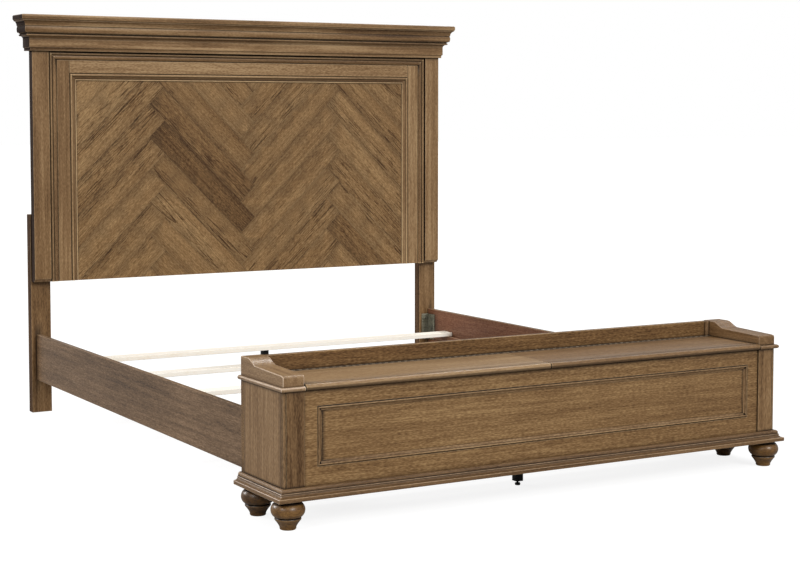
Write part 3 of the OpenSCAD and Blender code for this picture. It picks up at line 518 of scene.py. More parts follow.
@dataclass(frozen=True)
class Metal(Finish):
    """Plated steel with a cloudy grain, darkened in its corners by soil and painted shade.

    spangle, cloud and scratch are the noise scales of the crystals, of the clouds and of the fine
    scratches. The rough_ fields say how much each dulls the metal, soil_matt how far soil and painted shade
    hide it.
    """

    name: str
    bright: Colour = (224, 228, 224)
    dull: Colour = (146, 152, 146)
    soil: Colour = (58, 54, 48)
    roughness: float = 0.38
    spangle: float = 190.0
    spangle_share: float = 0.6
    metallic: float = 0.72
    cloud: float = 60.0
    cloud_share: float = 0.2
    soil_and_shade_share: float = 0.7
    soil_matt: float = 0.5
    rough_spangle: float = 0.12
    rough_cloud: float = 0.25
    rough_soil: float = 0.3
    scratch: float = 1500.0
    scratch_relief: float = 0.15
    scratch_depth: float = 0.1 * MM

    def surface(self, tree: Tree) -> Sock:
        """Crystal spangle in colour and roughness, fine scratches as relief.

        Args:
            tree: The material's tree.

        Returns:
            The shader.
        """
        place = tree.place()
        cell = tree.node("ShaderNodeTexVoronoi", {}, {"Vector": place, "Scale": self.spangle}, "Color")
        flake = tree.split(cell)[0]
        cloud = tree.noise(place, 3.0, self.cloud)
        plating = (flake * self.spangle_share + cloud + self.cloud_share).held()
        # Soil and painted shade where the surroundings close the metal in.
        soil = (tree.attribute("glaze") * (self.soil_and_shade_share + cloud)).held()
        colour = tree.mix(plating, linear(self.dull), linear(self.bright))
        colour = tree.mix(soil, colour, linear(self.soil))
        rough = (self.roughness + flake * self.rough_spangle + cloud * self.rough_cloud
                 + soil * self.rough_soil)
        scratch = tree.noise(place, 2.0, self.scratch)
        return tree.node("ShaderNodeBsdfPrincipled", {}, {
            "Base Color": colour, "Metallic": (self.metallic - soil * self.soil_matt).held(),
            "Roughness": rough.held(),
            "Normal": tree.bump(scratch, self.scratch_relief, self.scratch_depth)})


@dataclass(frozen=True)
class Floor(Finish):
    """Pale studio floor, white to the camera, that keeps the bed's shadow.

    bounce is its grey towards the bed; seen and glow make it white where it is seen, and cloud and
    cloud_scale are the strength and scale of its faint clouds.
    """

    name: str = "studio_floor"
    bounce: float = 0.38
    seen: float = 0.26
    glow: float = 0.85
    cloud: float = 0.01
    cloud_scale: float = 0.8

    def surface(self, tree: Tree) -> Sock:
        """Matt grey to the bed, and near white to rays that see the floor itself.

        Args:
            tree: The material's tree.

        Returns:
            The shader.
        """
        cloud = tree.noise(tree.place(), 2.0, self.cloud_scale) * self.cloud
        plain, shade = (tree.node("ShaderNodeBsdfDiffuse", {}, {"Color": tree.combine(*[cloud + grey] * 3)})
                        for grey in (self.bounce, self.seen))
        glow = tree.node("ShaderNodeEmission", {}, {"Color": (1.0, 1.0, 1.0, 1.0), "Strength": self.glow})
        white = tree.node("ShaderNodeAddShader", {}, {0: shade, 1: glow})
        return tree.node("ShaderNodeMixShader", {}, {0: direct_view(tree), 1: plain, 2: white})


@dataclass
class Workshop:
    """Copies, eases and divides parts of the frame and measures where glaze and painted shade gather, and
    where wear and painted highlights go.

    reach, near and lift are lengths of the rays that look for what closes a point in, ledge makes
    them count more the steeper they stand, so that painted shade gathers under overhangs, and the
    gains turn their hits into glaze and painted shade. rub, unworn and speck turn an edge's curve
    into wear and painted highlights. ladder and longest space the rungs, rung_gap is the least
    distance between them, and steps below smallest get none. merge and flat say which points
    and faces of a part are one, crisp and keen which edges stay crisp and are eased, in degrees.
    """

    record: dict[str, Any]
    nodes: dict[str, bpy.types.Object]
    reach: float = 28 * MM
    near: float = 8 * MM
    near_gain: float = 2.3
    wide_gain: float = 0.5
    lift: float = 0.3 * MM
    ledge: float = 1.3
    ray_count: int = 20
    quick_rays: int = 8
    ladder: tuple[float, ...] = (2.5 * MM, 7 * MM, 15 * MM)
    longest: float = 80 * MM
    rung_gap: float = 1 * MM
    rung_snap: float = 0.05 * MM
    smallest: float = 400 * MM * MM
    square_on: float = 0.999
    end_on: float = 0.7
    rub_and_highlight: float = 2.6 * MM
    unworn_and_unlit: float = 0.25
    speck: float = 0.001 * MM * MM
    merge: float = 0.002 * MM
    flat: float = 0.6
    crisp: float = 36.0
    keen: float = 38.0
    pieces: list[bpy.types.Object] = field(init=False, default_factory=list)
    kept: list[bpy.types.Object] = field(init=False, default_factory=list)
    body_of: dict[str, str] = field(init=False)
    slot_of: dict[str, str] = field(init=False)
    rays: list[Vector] = field(init=False)

    def __post_init__(self) -> None:
        """Reads bodies and slots, and spreads the rays over a half sphere."""
        self.body_of = {n: b for b, names in self.record["behaviour"]["bodies"].items() for n in names}
        self.slot_of = {p["node"]: p["material_slot"] for p in self.record["subparts"]}
        count = self.ray_count
        golden = math.pi * (3.0 - math.sqrt(5.0))
        self.rays = []
        for i in range(count):
            rim = math.sqrt((i + 0.5) / count)
            self.rays.append(Vector((rim * math.cos(i * golden), rim * math.sin(i * golden),
                                     math.sqrt(1.0 - rim * rim))))

    def shape_of(self, node: str) -> bmesh.types.BMesh:
        """A frame part's shape as one merged mesh with flat faces joined.

        Args:
            node: Name of the part.

        Returns:
            A new bmesh that the caller frees.
        """
        bm = bmesh.new()
        bm.from_mesh(self.nodes[node].data)
        bmesh.ops.remove_doubles(bm, verts=bm.verts, dist=self.merge)
        bmesh.ops.dissolve_limit(bm, angle_limit=math.radians(self.flat), verts=bm.verts, edges=bm.edges)
        return bm

    def ease(self, bm: bmesh.types.BMesh, arris: float, shortest: float = 4 * MM, segments: int = 2) -> None:
        """Rounds the sharp outer edges.

        Args:
            bm: The shape.
            arris: Width taken off each side of an edge.
            shortest: Edges below this length stay, such as a hole's.
            segments: Faces across an eased edge.
        """
        sharp = [e for e in bm.edges if len(e.link_faces) == 2 and e.calc_length() > shortest
                 and e.calc_face_angle_signed(0.0) > math.radians(self.keen)]
        if sharp:
            bmesh.ops.bevel(bm, geom=sharp, offset=arris, segments=segments, profile=0.5,
                            affect="EDGES", clamp_overlap=False)

    def divide(self, bm: bmesh.types.BMesh, axes: str, beside: Sequence[str] = ()) -> None:
        """Cuts rungs into the faces on both sides of the shape's steps, and at even steps between.

        Args:
            bm: The shape.
            axes: The axes across which it is cut, such as "XZ".
            beside: Names of parts whose steps count too.
        """
        shapes = [bm] + [self.shape_of(name) for name in beside]
        for index in ("XYZ".index(a) for a in axes):
            places = [v.co[index] for v in bm.verts]
            low, high = min(places), max(places)
            marks = {low, high}
            for shape in shapes:
                marks.update(round(face.calc_center_median()[index], 5) for face in shape.faces
                             if abs(face.normal[index]) > self.square_on and face.calc_area() > self.smallest)
            rungs = [m + sign * r for m in marks for r in (0.0, *self.ladder) for sign in (-1, 1)]
            rungs += [low + self.longest * i for i in range(1, math.ceil((high - low) / self.longest))]
            normal = Vector((0, 0, 0))
            normal[index] = 1.0
            last = low
            for rung in sorted(rungs):
                if rung > last + self.rung_gap and rung < high - self.rung_gap:
                    bmesh.ops.bisect_plane(bm, geom=all_of(bm), plane_co=normal * rung, plane_no=normal,
                                           dist=self.rung_snap)
                    last = rung
        for shape in shapes[1:]:
            shape.free()

    def age(self) -> None:
        """Measures glaze and painted shade, and wear and painted highlights, on every piece, once all of them
        are in place.
        """
        points: list[Vector] = []
        faces: list[list[int]] = []
        for obj in (*self.pieces, *self.kept):
            first = len(points)
            points.extend(v.co.copy() for v in obj.data.vertices)
            faces.extend([first + i for i in p.vertices] for p in obj.data.polygons)
        around = BVHTree.FromPolygons(points, faces)
        for obj in self.pieces:
            self.measure(obj.data, around)
        LOG.info("measured %d points", len(points))

    def measure(self, mesh: bpy.types.Mesh, around: BVHTree) -> None:
        """Writes glaze and painted shade, where the surroundings close a point in, and wear and painted
        highlights, where it stands proud.

        A piece's own layers "soil", glaze and painted shade, and "polish", a painted highlight, add to what
        is measured.

        Args:
            mesh: The finished mesh, with its normals.
            around: All finished pieces.
        """
        bm = bmesh.new()
        bm.from_mesh(mesh)
        worn_and_lit = []
        polish = mesh.attributes.get("polish")
        # Faces that bend sharply are lightened: wear, and painted highlights on arrises and beads.
        for face in bm.faces:
            shared = (e for e in face.edges if len(e.link_faces) == 2)
            bend = sum(e.calc_face_angle_signed(0.0) * e.calc_length() for e in shared)
            curve = self.rub_and_highlight * bend / (2.0 * max(face.calc_area(), self.speck))
            rubbed_and_lit = polish.data[face.index].value if polish else 0.0
            worn_and_lit.append(max(rubbed_and_lit, min(1.0, curve - self.unworn_and_unlit)))
        bm.free()
        write_layer(mesh, "wear", worn_and_lit, "FACE")
        # Points closed in by their surroundings are darkened: glaze, and painted shade in corners, grooves
        # and under overhangs.
        soil = mesh.attributes.get("soil")
        glaze = [self.closed_in(v.co, n.vector, around) + (soil.data[v.index].value if soil else 0.0)
                 for v, n in zip(mesh.vertices, mesh.vertex_normals)]
        write_layer(mesh, "glaze", [min(1.0, value) for value in glaze])

    def closed_in(self, point: Vector, normal: Vector, around: BVHTree) -> float:
        """How much of a point's view the near surroundings take.

        Args:
            point: Place on a surface.
            normal: The surface's outward direction there.
            around: All finished pieces.

        Returns:
            0 in the open, 1 or more in a narrow groove.
        """
        turn = normal.to_track_quat("Z", "Y").to_matrix()
        start = point + normal * self.lift
        near = wide = 0.0
        for ray in self.rays:
            aim = turn @ ray
            distance = around.ray_cast(start, aim, self.reach)[3]
            if distance is not None:
                # Rays that rise reach further, so painted shade gathers under overhangs.
                near += max(0.0, 1.0 - distance / (self.near * (1.0 + self.ledge * max(0.0, aim.z))))
                wide += 1.0 - distance / self.reach
        return (self.near_gain * near + self.wide_gain * wide) / len(self.rays)

    def finish_piece(self, obj: bpy.types.Object, finish: Finish, node: str,
                     tone: float | None = None) -> bpy.types.Object:
        """Shades and paints a piece and hands it to the frame.

        Args:
            obj: The piece, in place, with only a plain mesh.
            finish: Its finish.
            node: Name of the frame part that it stands for.
            tone: How much lighter than its finish it is; left out, the piece keeps its own.

        Returns:
            The same piece.
        """
        mesh = obj.data
        mesh.shade_smooth()
        mesh.set_sharp_from_angle(angle=math.radians(self.crisp))
        if tone is not None:
            shift = random.Random(obj.name).random()
            write_layer(mesh, "shift", [shift] * len(mesh.vertices))
            write_layer(mesh, "tone", [tone] * len(mesh.vertices))
        mesh.materials.clear()
        mesh.materials.append(finish.material())
        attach(obj, self.body_of[node])
        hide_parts(node)
        self.pieces.append(obj)
        LOG.info("%s: %d faces, %s", obj.name, len(mesh.polygons), finish.name)
        return obj

    def keep(self, node: str, finish: Finish) -> None:
        """Gives a frame part that stays in view its finish.

        Args:
            node: Name of the part.
            finish: Its finish.
        """
        obj = self.nodes[node]
        obj.data.materials.clear()
        obj.data.materials.append(finish.material())
        self.kept.append(obj)
        LOG.info("%s: kept, %s", node, finish.name)

    def dress(self, node: str, finish: Finish, arris: float = 0.9 * MM, axes: str = "XYZ",
              tone: float = 0.0, ends: Finish | None = None, beside: Sequence[str] = (),
              **easing: Any) -> bpy.types.Object:
        """Makes the visible copy of one frame part.

        Args:
            node: Name of the part.
            finish: Its finish.
            arris: Width taken off its outer edges.
            axes: Axes across which its faces are divided.
            tone: How much lighter than its finish it is.
            ends: Finish of the faces that look along X, if it is another one; the headboard gives them
                painted shade.
            beside: Names of parts that it meets between its own ends.
            easing: More settings of ease.

        Returns:
            The new piece.
        """
        bm = self.shape_of(node)
        self.ease(bm, arris, **easing)
        self.divide(bm, axes, beside)
        obj = self.finish_piece(object_of(bm, f"{node}_piece"), finish, node, tone)
        if ends:
            second_finish(obj.data, ends, lambda face: abs(face.normal.x) > self.end_on)
        return obj


def all_of(bm: bmesh.types.BMesh) -> list[Any]:
    """All points, edges and faces of a shape."""
    return bm.verts[:] + bm.edges[:] + bm.faces[:]


def second_finish(mesh: bpy.types.Mesh, finish: Finish,
                  chosen: Callable[[bpy.types.MeshPolygon], bool]) -> None:
    """Gives the chosen faces of a mesh a finish of their own.

    Args:
        mesh: The piece's mesh.
        finish: The second finish.
        chosen: Says of a face whether it gets that finish.
    """
    mesh.materials.append(finish.material())
    for face in mesh.polygons:
        face.material_index = int(chosen(face))


def write_layer(mesh: bpy.types.Mesh, name: str, values: Sequence[Any], domain: str = "POINT") -> None:
    """Gives each vertex or face its value of a new attribute, a number or a vector.

    Args:
        mesh: The mesh.
        name: Name of the attribute.
        values: One value for each vertex or face.
        domain: "POINT" for vertices or "FACE" for faces.
    """
    if isinstance(values[0], (int, float)):
        mesh.attributes.new(name, "FLOAT", domain).data.foreach_set("value", list(values))
    else:
        flat = [c for v in values for c in v]
        mesh.attributes.new(name, "FLOAT_VECTOR", domain).data.foreach_set("vector", flat)


def new_object(name: str, data: Any) -> bpy.types.Object:
    """Links new object data into the scene at the origin.

    Args:
        name: Name of the object.
        data: Its mesh, camera or light.

    Returns:
        The object.
    """
    obj = bpy.data.objects.new(name, data)
    bpy.context.scene.collection.objects.link(obj)
    return obj


def object_of(bm: bmesh.types.BMesh, name: str) -> bpy.types.Object:
    """Makes an object of a finished shape, which it frees.

    Args:
        bm: The shape.
        name: Name of the object and its mesh.

    Returns:
        The object, at the origin.
    """
    mesh = bpy.data.meshes.new(name)
    bm.to_mesh(mesh)
    bm.free()
    return new_object(name, mesh)


def point_cloud(name: str, places: Sequence[Vector], layers: dict[str, Sequence[Any]]) -> bpy.types.Object:
    """Makes a mesh of loose points with attributes, for a tree to put copies on.

    Args:
        name: Name of the object.
        places: The points.
        layers: Values for each point, by attribute name: numbers or vectors.

    Returns:
        The object.
    """
    mesh = bpy.data.meshes.new(name)
    mesh.from_pydata([tuple(p) for p in places], [], [])
    for key, values in layers.items():
        write_layer(mesh, key, values)
    return new_object(name, mesh)


class Pattern:
    """A geometry tree with named inputs that turns points into pieces."""

    def __init__(self, name: str, lengths: dict[str, float]) -> None:
        """Opens a tree with one input per size.

        Args:
            name: Name of the tree.
            lengths: Its sizes in metres.
        """
        group = bpy.data.node_groups.new(name, "GeometryNodeTree")
        self.tree = Tree(group)
        self.values: dict[str, Any] = dict(lengths)
        face = group.interface
        face.new_socket("Points", in_out="INPUT", socket_type="NodeSocketGeometry")
        for key in lengths:
            face.new_socket(key, in_out="INPUT", socket_type="NodeSocketFloat")
        face.new_socket("Finish", in_out="INPUT", socket_type="NodeSocketMaterial")
        face.new_socket("Pieces", in_out="OUTPUT", socket_type="NodeSocketGeometry")
        self.start = self.tree.node("NodeGroupInput")

    def given(self, name: str) -> Sock:
        """The input socket of a size."""
        return Sock(self.tree, self.start.socket.node.outputs[name])

    def named(self, name: str, kind: str = "FLOAT") -> Sock:
        """A point attribute by name."""
        return self.tree.node("GeometryNodeInputNamedAttribute", {"data_type": kind}, {"Name": name})

    def joined(self, *parts: Sock) -> Sock:
        """Several geometries as one.

        Args:
            parts: The geometries.

        Returns:
            The joined geometry.
        """
        made = self.tree.tree.nodes.new("GeometryNodeJoinGeometry")
        for part in reversed(parts):
            self.tree.tree.links.new(part.socket, made.inputs[0])
        return Sock(self.tree, made.outputs[0])

    def moved(self, shape: Sock, offset: Sock | tuple[float, float, float],
              turn: tuple[float, float, float] = (0.0, 0.0, 0.0)) -> Sock:
        """A geometry, moved and turned."""
        return self.tree.node("GeometryNodeTransform", {},
                              {"Geometry": shape, "Translation": offset, "Rotation": turn})

    def round_bar(self, radius: Value, depth: Value, sides: int, low: Value) -> Sock:
        """A closed cylinder that stands on the height low.

        Args:
            radius: Its radius.
            depth: Its height.
            sides: How many sides it has.
            low: Where it stands.

        Returns:
            The cylinder.
        """
        bar = self.tree.node("GeometryNodeMeshCylinder", {}, {
            "Vertices": sides, "Radius": radius, "Depth": depth})
        return self.moved(bar, self.tree.combine(0.0, 0.0, depth * 0.5 + low))

    def taper(self, radius: Value, top: Value, depth: Value, sides: int, low: Value) -> Sock:
        """A closed cone frustum that stands on the height low.

        Args:
            radius: Its lower radius.
            top: Its upper radius.
            depth: Its height.
            sides: How many sides it has.
            low: Where it stands.

        Returns:
            The frustum.
        """
        cone = self.tree.node("GeometryNodeMeshCone", {}, {
            "Vertices": sides, "Radius Bottom": radius, "Radius Top": top, "Depth": depth})
        return self.moved(cone, self.tree.combine(0.0, 0.0, low))

    def on_points(self, shape: Sock, scale: Sock | None = None) -> Sock:
        """Copies of a shape on the points, turned as their attribute "turn" says.

        Args:
            shape: The shape.
            scale: Its scale at each point, if it changes.

        Returns:
            The copies.
        """
        turn = self.tree.node("FunctionNodeEulerToRotation", {}, {0: self.named("turn", "FLOAT_VECTOR")})
        inputs: dict[int | str, Any] = {"Points": self.given("Points"), "Instance": shape, "Rotation": turn}
        if scale is not None:
            inputs["Scale"] = scale
        return self.tree.node("GeometryNodeInstanceOnPoints", {}, inputs)

    def run(self, shape: Sock, points: bpy.types.Object, name: str, finish: Finish) -> bpy.types.Object:
        """Closes the tree, runs it on an object's points and returns a plain mesh object.

        Args:
            shape: What the tree has made.
            points: The object that holds the points; it is removed.
            name: Name of the new object.
            finish: Finish of the new pieces.

        Returns:
            The new object, with no modifier left.
        """
        tree = self.tree
        real = tree.node("GeometryNodeRealizeInstances", {}, {"Geometry": shape})
        done = tree.node("GeometryNodeSetMaterial", {}, {"Geometry": real, "Material": self.given("Finish")})
        tree.node("NodeGroupOutput", {}, {"Pieces": done})
        modifier = points.modifiers.new(self.tree.tree.name, "NODES")
        modifier.node_group = self.tree.tree
        self.values["Finish"] = finish.material()
        for item in self.tree.tree.interface.items_tree:
            if item.in_out == "INPUT" and item.name in self.values:
                modifier[item.identifier] = self.values[item.name]
        graph = bpy.context.evaluated_depsgraph_get()
        graph.update()
        mesh = bpy.data.meshes.new_from_object(points.evaluated_get(graph), depsgraph=graph)
        points.modifiers.clear()
        bpy.data.objects.remove(points)
        mesh.name = name
        return new_object(name, mesh)


OAK_ACROSS = Wood("oak_across", Grain.ACROSS)
OAK_LENGTHWISE = Wood("oak_lengthwise", Grain.LENGTHWISE)
OAK_UPRIGHT = Wood("oak_upright", Grain.UPRIGHT, fleck=0.7, streak=1.4)
OAK_FRONT = replace(OAK_ACROSS, name="oak_front", mid=(124, 93, 58), pale=(170, 138, 94), figure=0.1,
                    streak=0.8)
OAK_CROWN = replace(OAK_ACROSS, name="oak_crown", figure=0.1, fleck=0.6, streak=2.4, wear_and_highlight_amount=0.5)
# The faces that look along X are painted dark: painted shade on the sides turned from the lamps.
OAK_SHADED_END = replace(OAK_UPRIGHT, name="oak_end", deep=(22, 14, 10), mid=(46, 33, 26), pale=(84, 66, 54),
                  worn_and_lit=(96, 76, 62), roughness=0.7, coat=0.0, shine=0.08)
OAK_SHADED_EDGE = replace(OAK_SHADED_END, name="oak_edge", deep=(44, 30, 20), mid=(78, 56, 38), pale=(118, 90, 64))
OAK_TOP = replace(OAK_ACROSS, name="oak_top", figure=0.12, fleck=0.6, streak=0.8, coat=0.2)
OAK_ARM = replace(OAK_LENGTHWISE, name="oak_arm", figure=0.1, fleck=0.6, worn_and_lit=(212, 188, 164),
                  wear_and_highlight_amount=0.7, glaze_and_shade_amount=0.6, coat=0.3)
# A shaded copy of the arm's finish, with fewer painted highlights and more painted shade, for the right arm.
OAK_ARM_SHADED = replace(OAK_ARM, name="oak_arm_dark", wear_and_highlight_amount=0.15, glaze_and_shade_amount=1.0, coat=0.05)
OAK_BEAD = replace(OAK_UPRIGHT, name="oak_bead", wear_and_highlight_amount=0.0, coat=0.6)
OAK_BASE = replace(OAK_ACROSS, name="oak_base", figure=0.06, fleck=0.6, worn_and_lit=(196, 168, 136),
                   wear_and_highlight_amount=0.45, glaze_and_shade_amount=1.2, coat=0.3)
# The side mouldings get lighter, stronger arrises than the front one: painted highlights.
OAK_BASE_LENGTHWISE = replace(OAK_BASE, name="oak_base_lengthwise", grain=Grain.LENGTHWISE,
                              worn_and_lit=(214, 192, 174), wear_and_highlight_amount=0.8)
OAK_STICKING = replace(OAK_ACROSS, name="oak_sticking", figure=0.06, wear_and_highlight_amount=0.25, glaze_and_shade_amount=1.5)
OAK_STICKING_UPRIGHT = replace(OAK_STICKING, name="oak_sticking_upright", grain=Grain.UPRIGHT)
OAK_MOULDING = replace(OAK_ACROSS, name="oak_moulding", figure=0.06, fleck=0.6, streak=1.8,
                       worn_and_lit=(206, 174, 130), wear_and_highlight_amount=1.0, glaze_and_shade_amount=1.0, coat=0.1)
OAK_MOULDING_UPRIGHT = replace(OAK_MOULDING, name="oak_moulding_upright", grain=Grain.UPRIGHT)
OAK_HERRINGBONE = replace(OAK_ACROSS, name="oak_herringbone", grain=Grain.PLANK, deep=(70, 45, 20),
                          mid=(129, 98, 62), pale=(173, 141, 98), figure=0.6, sway=4.5,
                          veins=0.7, streak=0.9, wear_and_highlight_amount=0.0, glaze_and_shade_amount=0.8)
OAK_TURNED = Wood("oak_turned", Grain.ACROSS, deep=(48, 28, 4), mid=(106, 73, 32), pale=(150, 113, 62),
                  figure=0.06, fleck=0.8, coat=0.5, coat_roughness=0.3, wear_and_highlight_amount=0.3, glaze_and_shade_amount=1.8)
CARCASS = Wood("inner_board", Grain.LENGTHWISE, deep=(82, 60, 40), mid=(118, 90, 62), pale=(150, 122, 90),
               figure=0.1, roughness=0.62, wear_and_highlight_amount=0.2, coat=0.0)
CARCASS_ACROSS = replace(CARCASS, name="inner_board_across", grain=Grain.ACROSS)
RAIL_OUTSIDE = Wood("rail_outside", Grain.LENGTHWISE, deep=(62, 44, 28), mid=(110, 85, 60),
                    pale=(146, 118, 90), figure=0.08, streak=1.4, wear_and_highlight_amount=0.1)
RAIL_INSIDE = Wood("rail_inside", Grain.LENGTHWISE, deep=(68, 36, 22), mid=(116, 74, 50), pale=(146, 104, 76),
                   figure=0.12, roughness=0.5)
SOFTWOOD = Wood("pale_softwood", Grain.ACROSS, deep=(240, 213, 176), mid=(255, 247, 233),
                pale=(255, 253, 247), glaze=(168, 134, 96), worn_and_lit=(252, 242, 228), figure=0.3, rings=70.0,
                fleck=0.5, streak=0.8, glaze_and_shade_amount=0.5, wear_and_highlight_amount=0.2, roughness=0.6, relief=0.15,
                coat=0.0)
BLOCK_WOOD = replace(SOFTWOOD, name="block_wood", deep=(178, 142, 100), mid=(206, 172, 130),
                     pale=(228, 200, 162))
BLACK_PAINT = Paint("black_paint")
GLIDE_NYLON = Paint("glide_nylon", colour=(16, 15, 15), rubbed_and_lit=(44, 42, 40), roughness=0.5)
ZINC_STEEL = Metal("zinc_steel", bright=(168, 166, 146), dull=(104, 102, 84))
HINGE_STEEL = Metal("hinge_steel", bright=(132, 114, 90), dull=(100, 84, 64), soil=(44, 34, 24), metallic=0.3,
                    roughness=0.42, spangle=500.0)
HINGE_SHADED = replace(HINGE_STEEL, name="hinge_shaded", bright=(86, 70, 51), dull=(66, 52, 36))


@dataclass
class Fastener:
    """A fastener of the frame: where its head ends, which way that end looks, and how long it is."""

    head: Vector
    outward: Vector
    length: float

    @property
    def turn(self) -> tuple[float, float, float]:
        """Euler angles that turn +Z to the head's direction."""
        return tuple(self.outward.to_track_quat("Z", "Y").to_euler())

    @staticmethod
    def all_in(bm: bmesh.types.BMesh) -> list[Fastener]:
        """Finds the fasteners among the loose solids of a shape.

        Args:
            bm: A merged shape that holds nothing but fasteners.

        Returns:
            One fastener for each solid, in order of place.
        """
        found: list[Fastener] = []
        end_depth = 0.1 * MM
        left = set(bm.verts)
        while left:
            group, todo = set(), [left.pop()]
            while todo:
                vert = todo.pop()
                group.add(vert)
                todo += [n for n in (e.other_vert(vert) for e in vert.link_edges) if n in left]
                left.difference_update(todo)
            low = Vector([min(v.co[i] for v in group) for i in range(3)])
            high = Vector([max(v.co[i] for v in group) for i in range(3)])
            axis = max(range(3), key=lambda i: high[i] - low[i])
            middle = (low + high) / 2
            along = Vector([float(i == axis) for i in range(3)])

            def spread(end: float) -> float:
                """Greatest distance from the axis of the corners at one end."""
                return max(((v.co - middle) - along * (v.co - middle).dot(along)).length
                           for v in group if abs(v.co[axis] - end) < end_depth)

            outward = along if spread(high[axis]) > spread(low[axis]) else -along
            length = high[axis] - low[axis]
            found.append(Fastener(middle + outward * (length / 2), outward, length))
        return sorted(found, key=lambda f: tuple(round(c, 4) for c in f.head))


class Fasteners:
    """Base of bolts and screws: a head and a shank on every place that the frame has one."""

    node: str
    shank_radius: float
    shank_sides: int

    def sizes(self) -> dict[str, float]:
        """The head's sizes, by the names of the tree's inputs."""
        raise NotImplementedError

    def head(self, pattern: Pattern) -> Sock:
        """The head, which ends at the origin and looks along +Z."""
        raise NotImplementedError

    def build(self, shop: Workshop) -> None:
        """Finds the frame's fasteners of this kind and sets new ones in their places.

        Args:
            shop: The workshop.
        """
        bm = shop.shape_of(self.node)
        found = Fastener.all_in(bm)
        bm.free()
        pattern = Pattern(f"{self.node}_pattern", {**self.sizes(), "Shank radius": self.shank_radius})
        heads = pattern.on_points(self.head(pattern))
        shank = pattern.round_bar(pattern.given("Shank radius"), 1.0, self.shank_sides, -1.0)
        shanks = pattern.on_points(shank, pattern.tree.combine(1.0, 1.0, pattern.named("length")))
        points = point_cloud(f"{self.node}_places", [f.head for f in found], {
            "turn": [f.turn for f in found], "length": [f.length for f in found]})
        obj = pattern.run(pattern.joined(heads, shanks), points, f"{self.node}_piece", ZINC_STEEL)
        shop.finish_piece(obj, ZINC_STEEL, self.node)


@dataclass
class HexBolts(Fasteners):
    """Hexagon bolts on washers with a bevelled brim."""

    node: str = "hex_bolts"
    head_radius: float = 7.5 * MM
    head_height: float = 5 * MM
    head_sides: int = 6
    chamfer: float = 0.9 * MM
    washer_radius: float = 11 * MM
    washer_height: float = 1.6 * MM
    washer_sides: int = 40
    brim: float = 0.3 * MM
    brim_share: float = 0.3
    shank_radius: float = 4 * MM
    shank_sides: int = 20

    def sizes(self) -> dict[str, float]:
        """The head's sizes, by the names of the tree's inputs."""
        return {"Head radius": self.head_radius, "Head height": self.head_height, "Chamfer": self.chamfer,
                "Washer radius": self.washer_radius, "Washer height": self.washer_height}

    def head(self, pattern: Pattern) -> Sock:
        """A chamfered hexagon on its washer.

        Args:
            pattern: The tree.

        Returns:
            The head.
        """
        radius, height, chamfer, washer_r, washer_h = (pattern.given(name) for name in self.sizes())
        under = 0.0 - height
        top = pattern.taper(radius, radius - chamfer, chamfer, self.head_sides, 0.0 - chamfer)
        prism = pattern.round_bar(radius, height - chamfer, self.head_sides, under)
        brim_h = washer_h * self.brim_share
        brim = pattern.taper(washer_r, washer_r - self.brim, brim_h, self.washer_sides, under - brim_h)
        washer = pattern.round_bar(washer_r, washer_h * (1.0 - self.brim_share), self.washer_sides,
                                   under - washer_h)
        return pattern.joined(top, prism, brim, washer)


@dataclass
class WoodScrews(Fasteners):
    """Pan head screws with a crossed recess.

    The shares are parts of the head's height: its rim, its shoulder, its dome and the depth of its
    recess. shoulder_top and dome_top are radii, as parts of the head's.
    """

    node: str = "wood_screws"
    head_radius: float = 4 * MM
    head_height: float = 2 * MM
    head_sides: int = 28
    rim_share: float = 0.45
    shoulder_share: float = 0.3
    shoulder_top: float = 0.86
    dome_share: float = 0.25
    dome_top: float = 0.52
    recess: float = 0.8 * MM
    recess_length: float = 4.4 * MM
    recess_share: float = 0.6
    shank_radius: float = 2 * MM
    shank_sides: int = 16

    def sizes(self) -> dict[str, float]:
        """The head's sizes, by the names of the tree's inputs."""
        return {"Head radius": self.head_radius, "Head height": self.head_height, "Recess": self.recess,
                "Recess length": self.recess_length}

    def head(self, pattern: Pattern) -> Sock:
        """A domed head with a cross cut into it.

        Args:
            pattern: The tree.

        Returns:
            The head.
        """
        tree = pattern.tree
        radius, height, recess, length = (pattern.given(name) for name in self.sizes())
        rim = pattern.round_bar(radius, height * self.rim_share, self.head_sides, 0.0 - height)
        shoulder = pattern.taper(radius, radius * self.shoulder_top, height * self.shoulder_share,
                                 self.head_sides, 0.0 - height * (1.0 - self.rim_share))
        dome = pattern.taper(radius * self.shoulder_top, radius * self.dome_top, height * self.dome_share,
                             self.head_sides, 0.0 - height * self.dome_share)
        slots = []
        for turned in (0.0, math.pi / 2):
            size = tree.combine(length, recess, height * (2.0 * self.recess_share))
            bar = tree.node("GeometryNodeMeshCube", {}, {"Size": size})
            slots.append(pattern.moved(bar, (0.0, 0.0, 0.0), (0.0, 0.0, turned)))
        cut = tree.tree.nodes.new("GeometryNodeMeshBoolean")
        cut.operation = "DIFFERENCE"
        tree.tree.links.new(pattern.joined(rim, shoulder, dome).socket, cut.inputs["Mesh 1"])
        tree.tree.links.new(pattern.joined(*slots).socket, cut.inputs["Mesh 2"])
        return Sock(tree, cut.outputs["Mesh"])


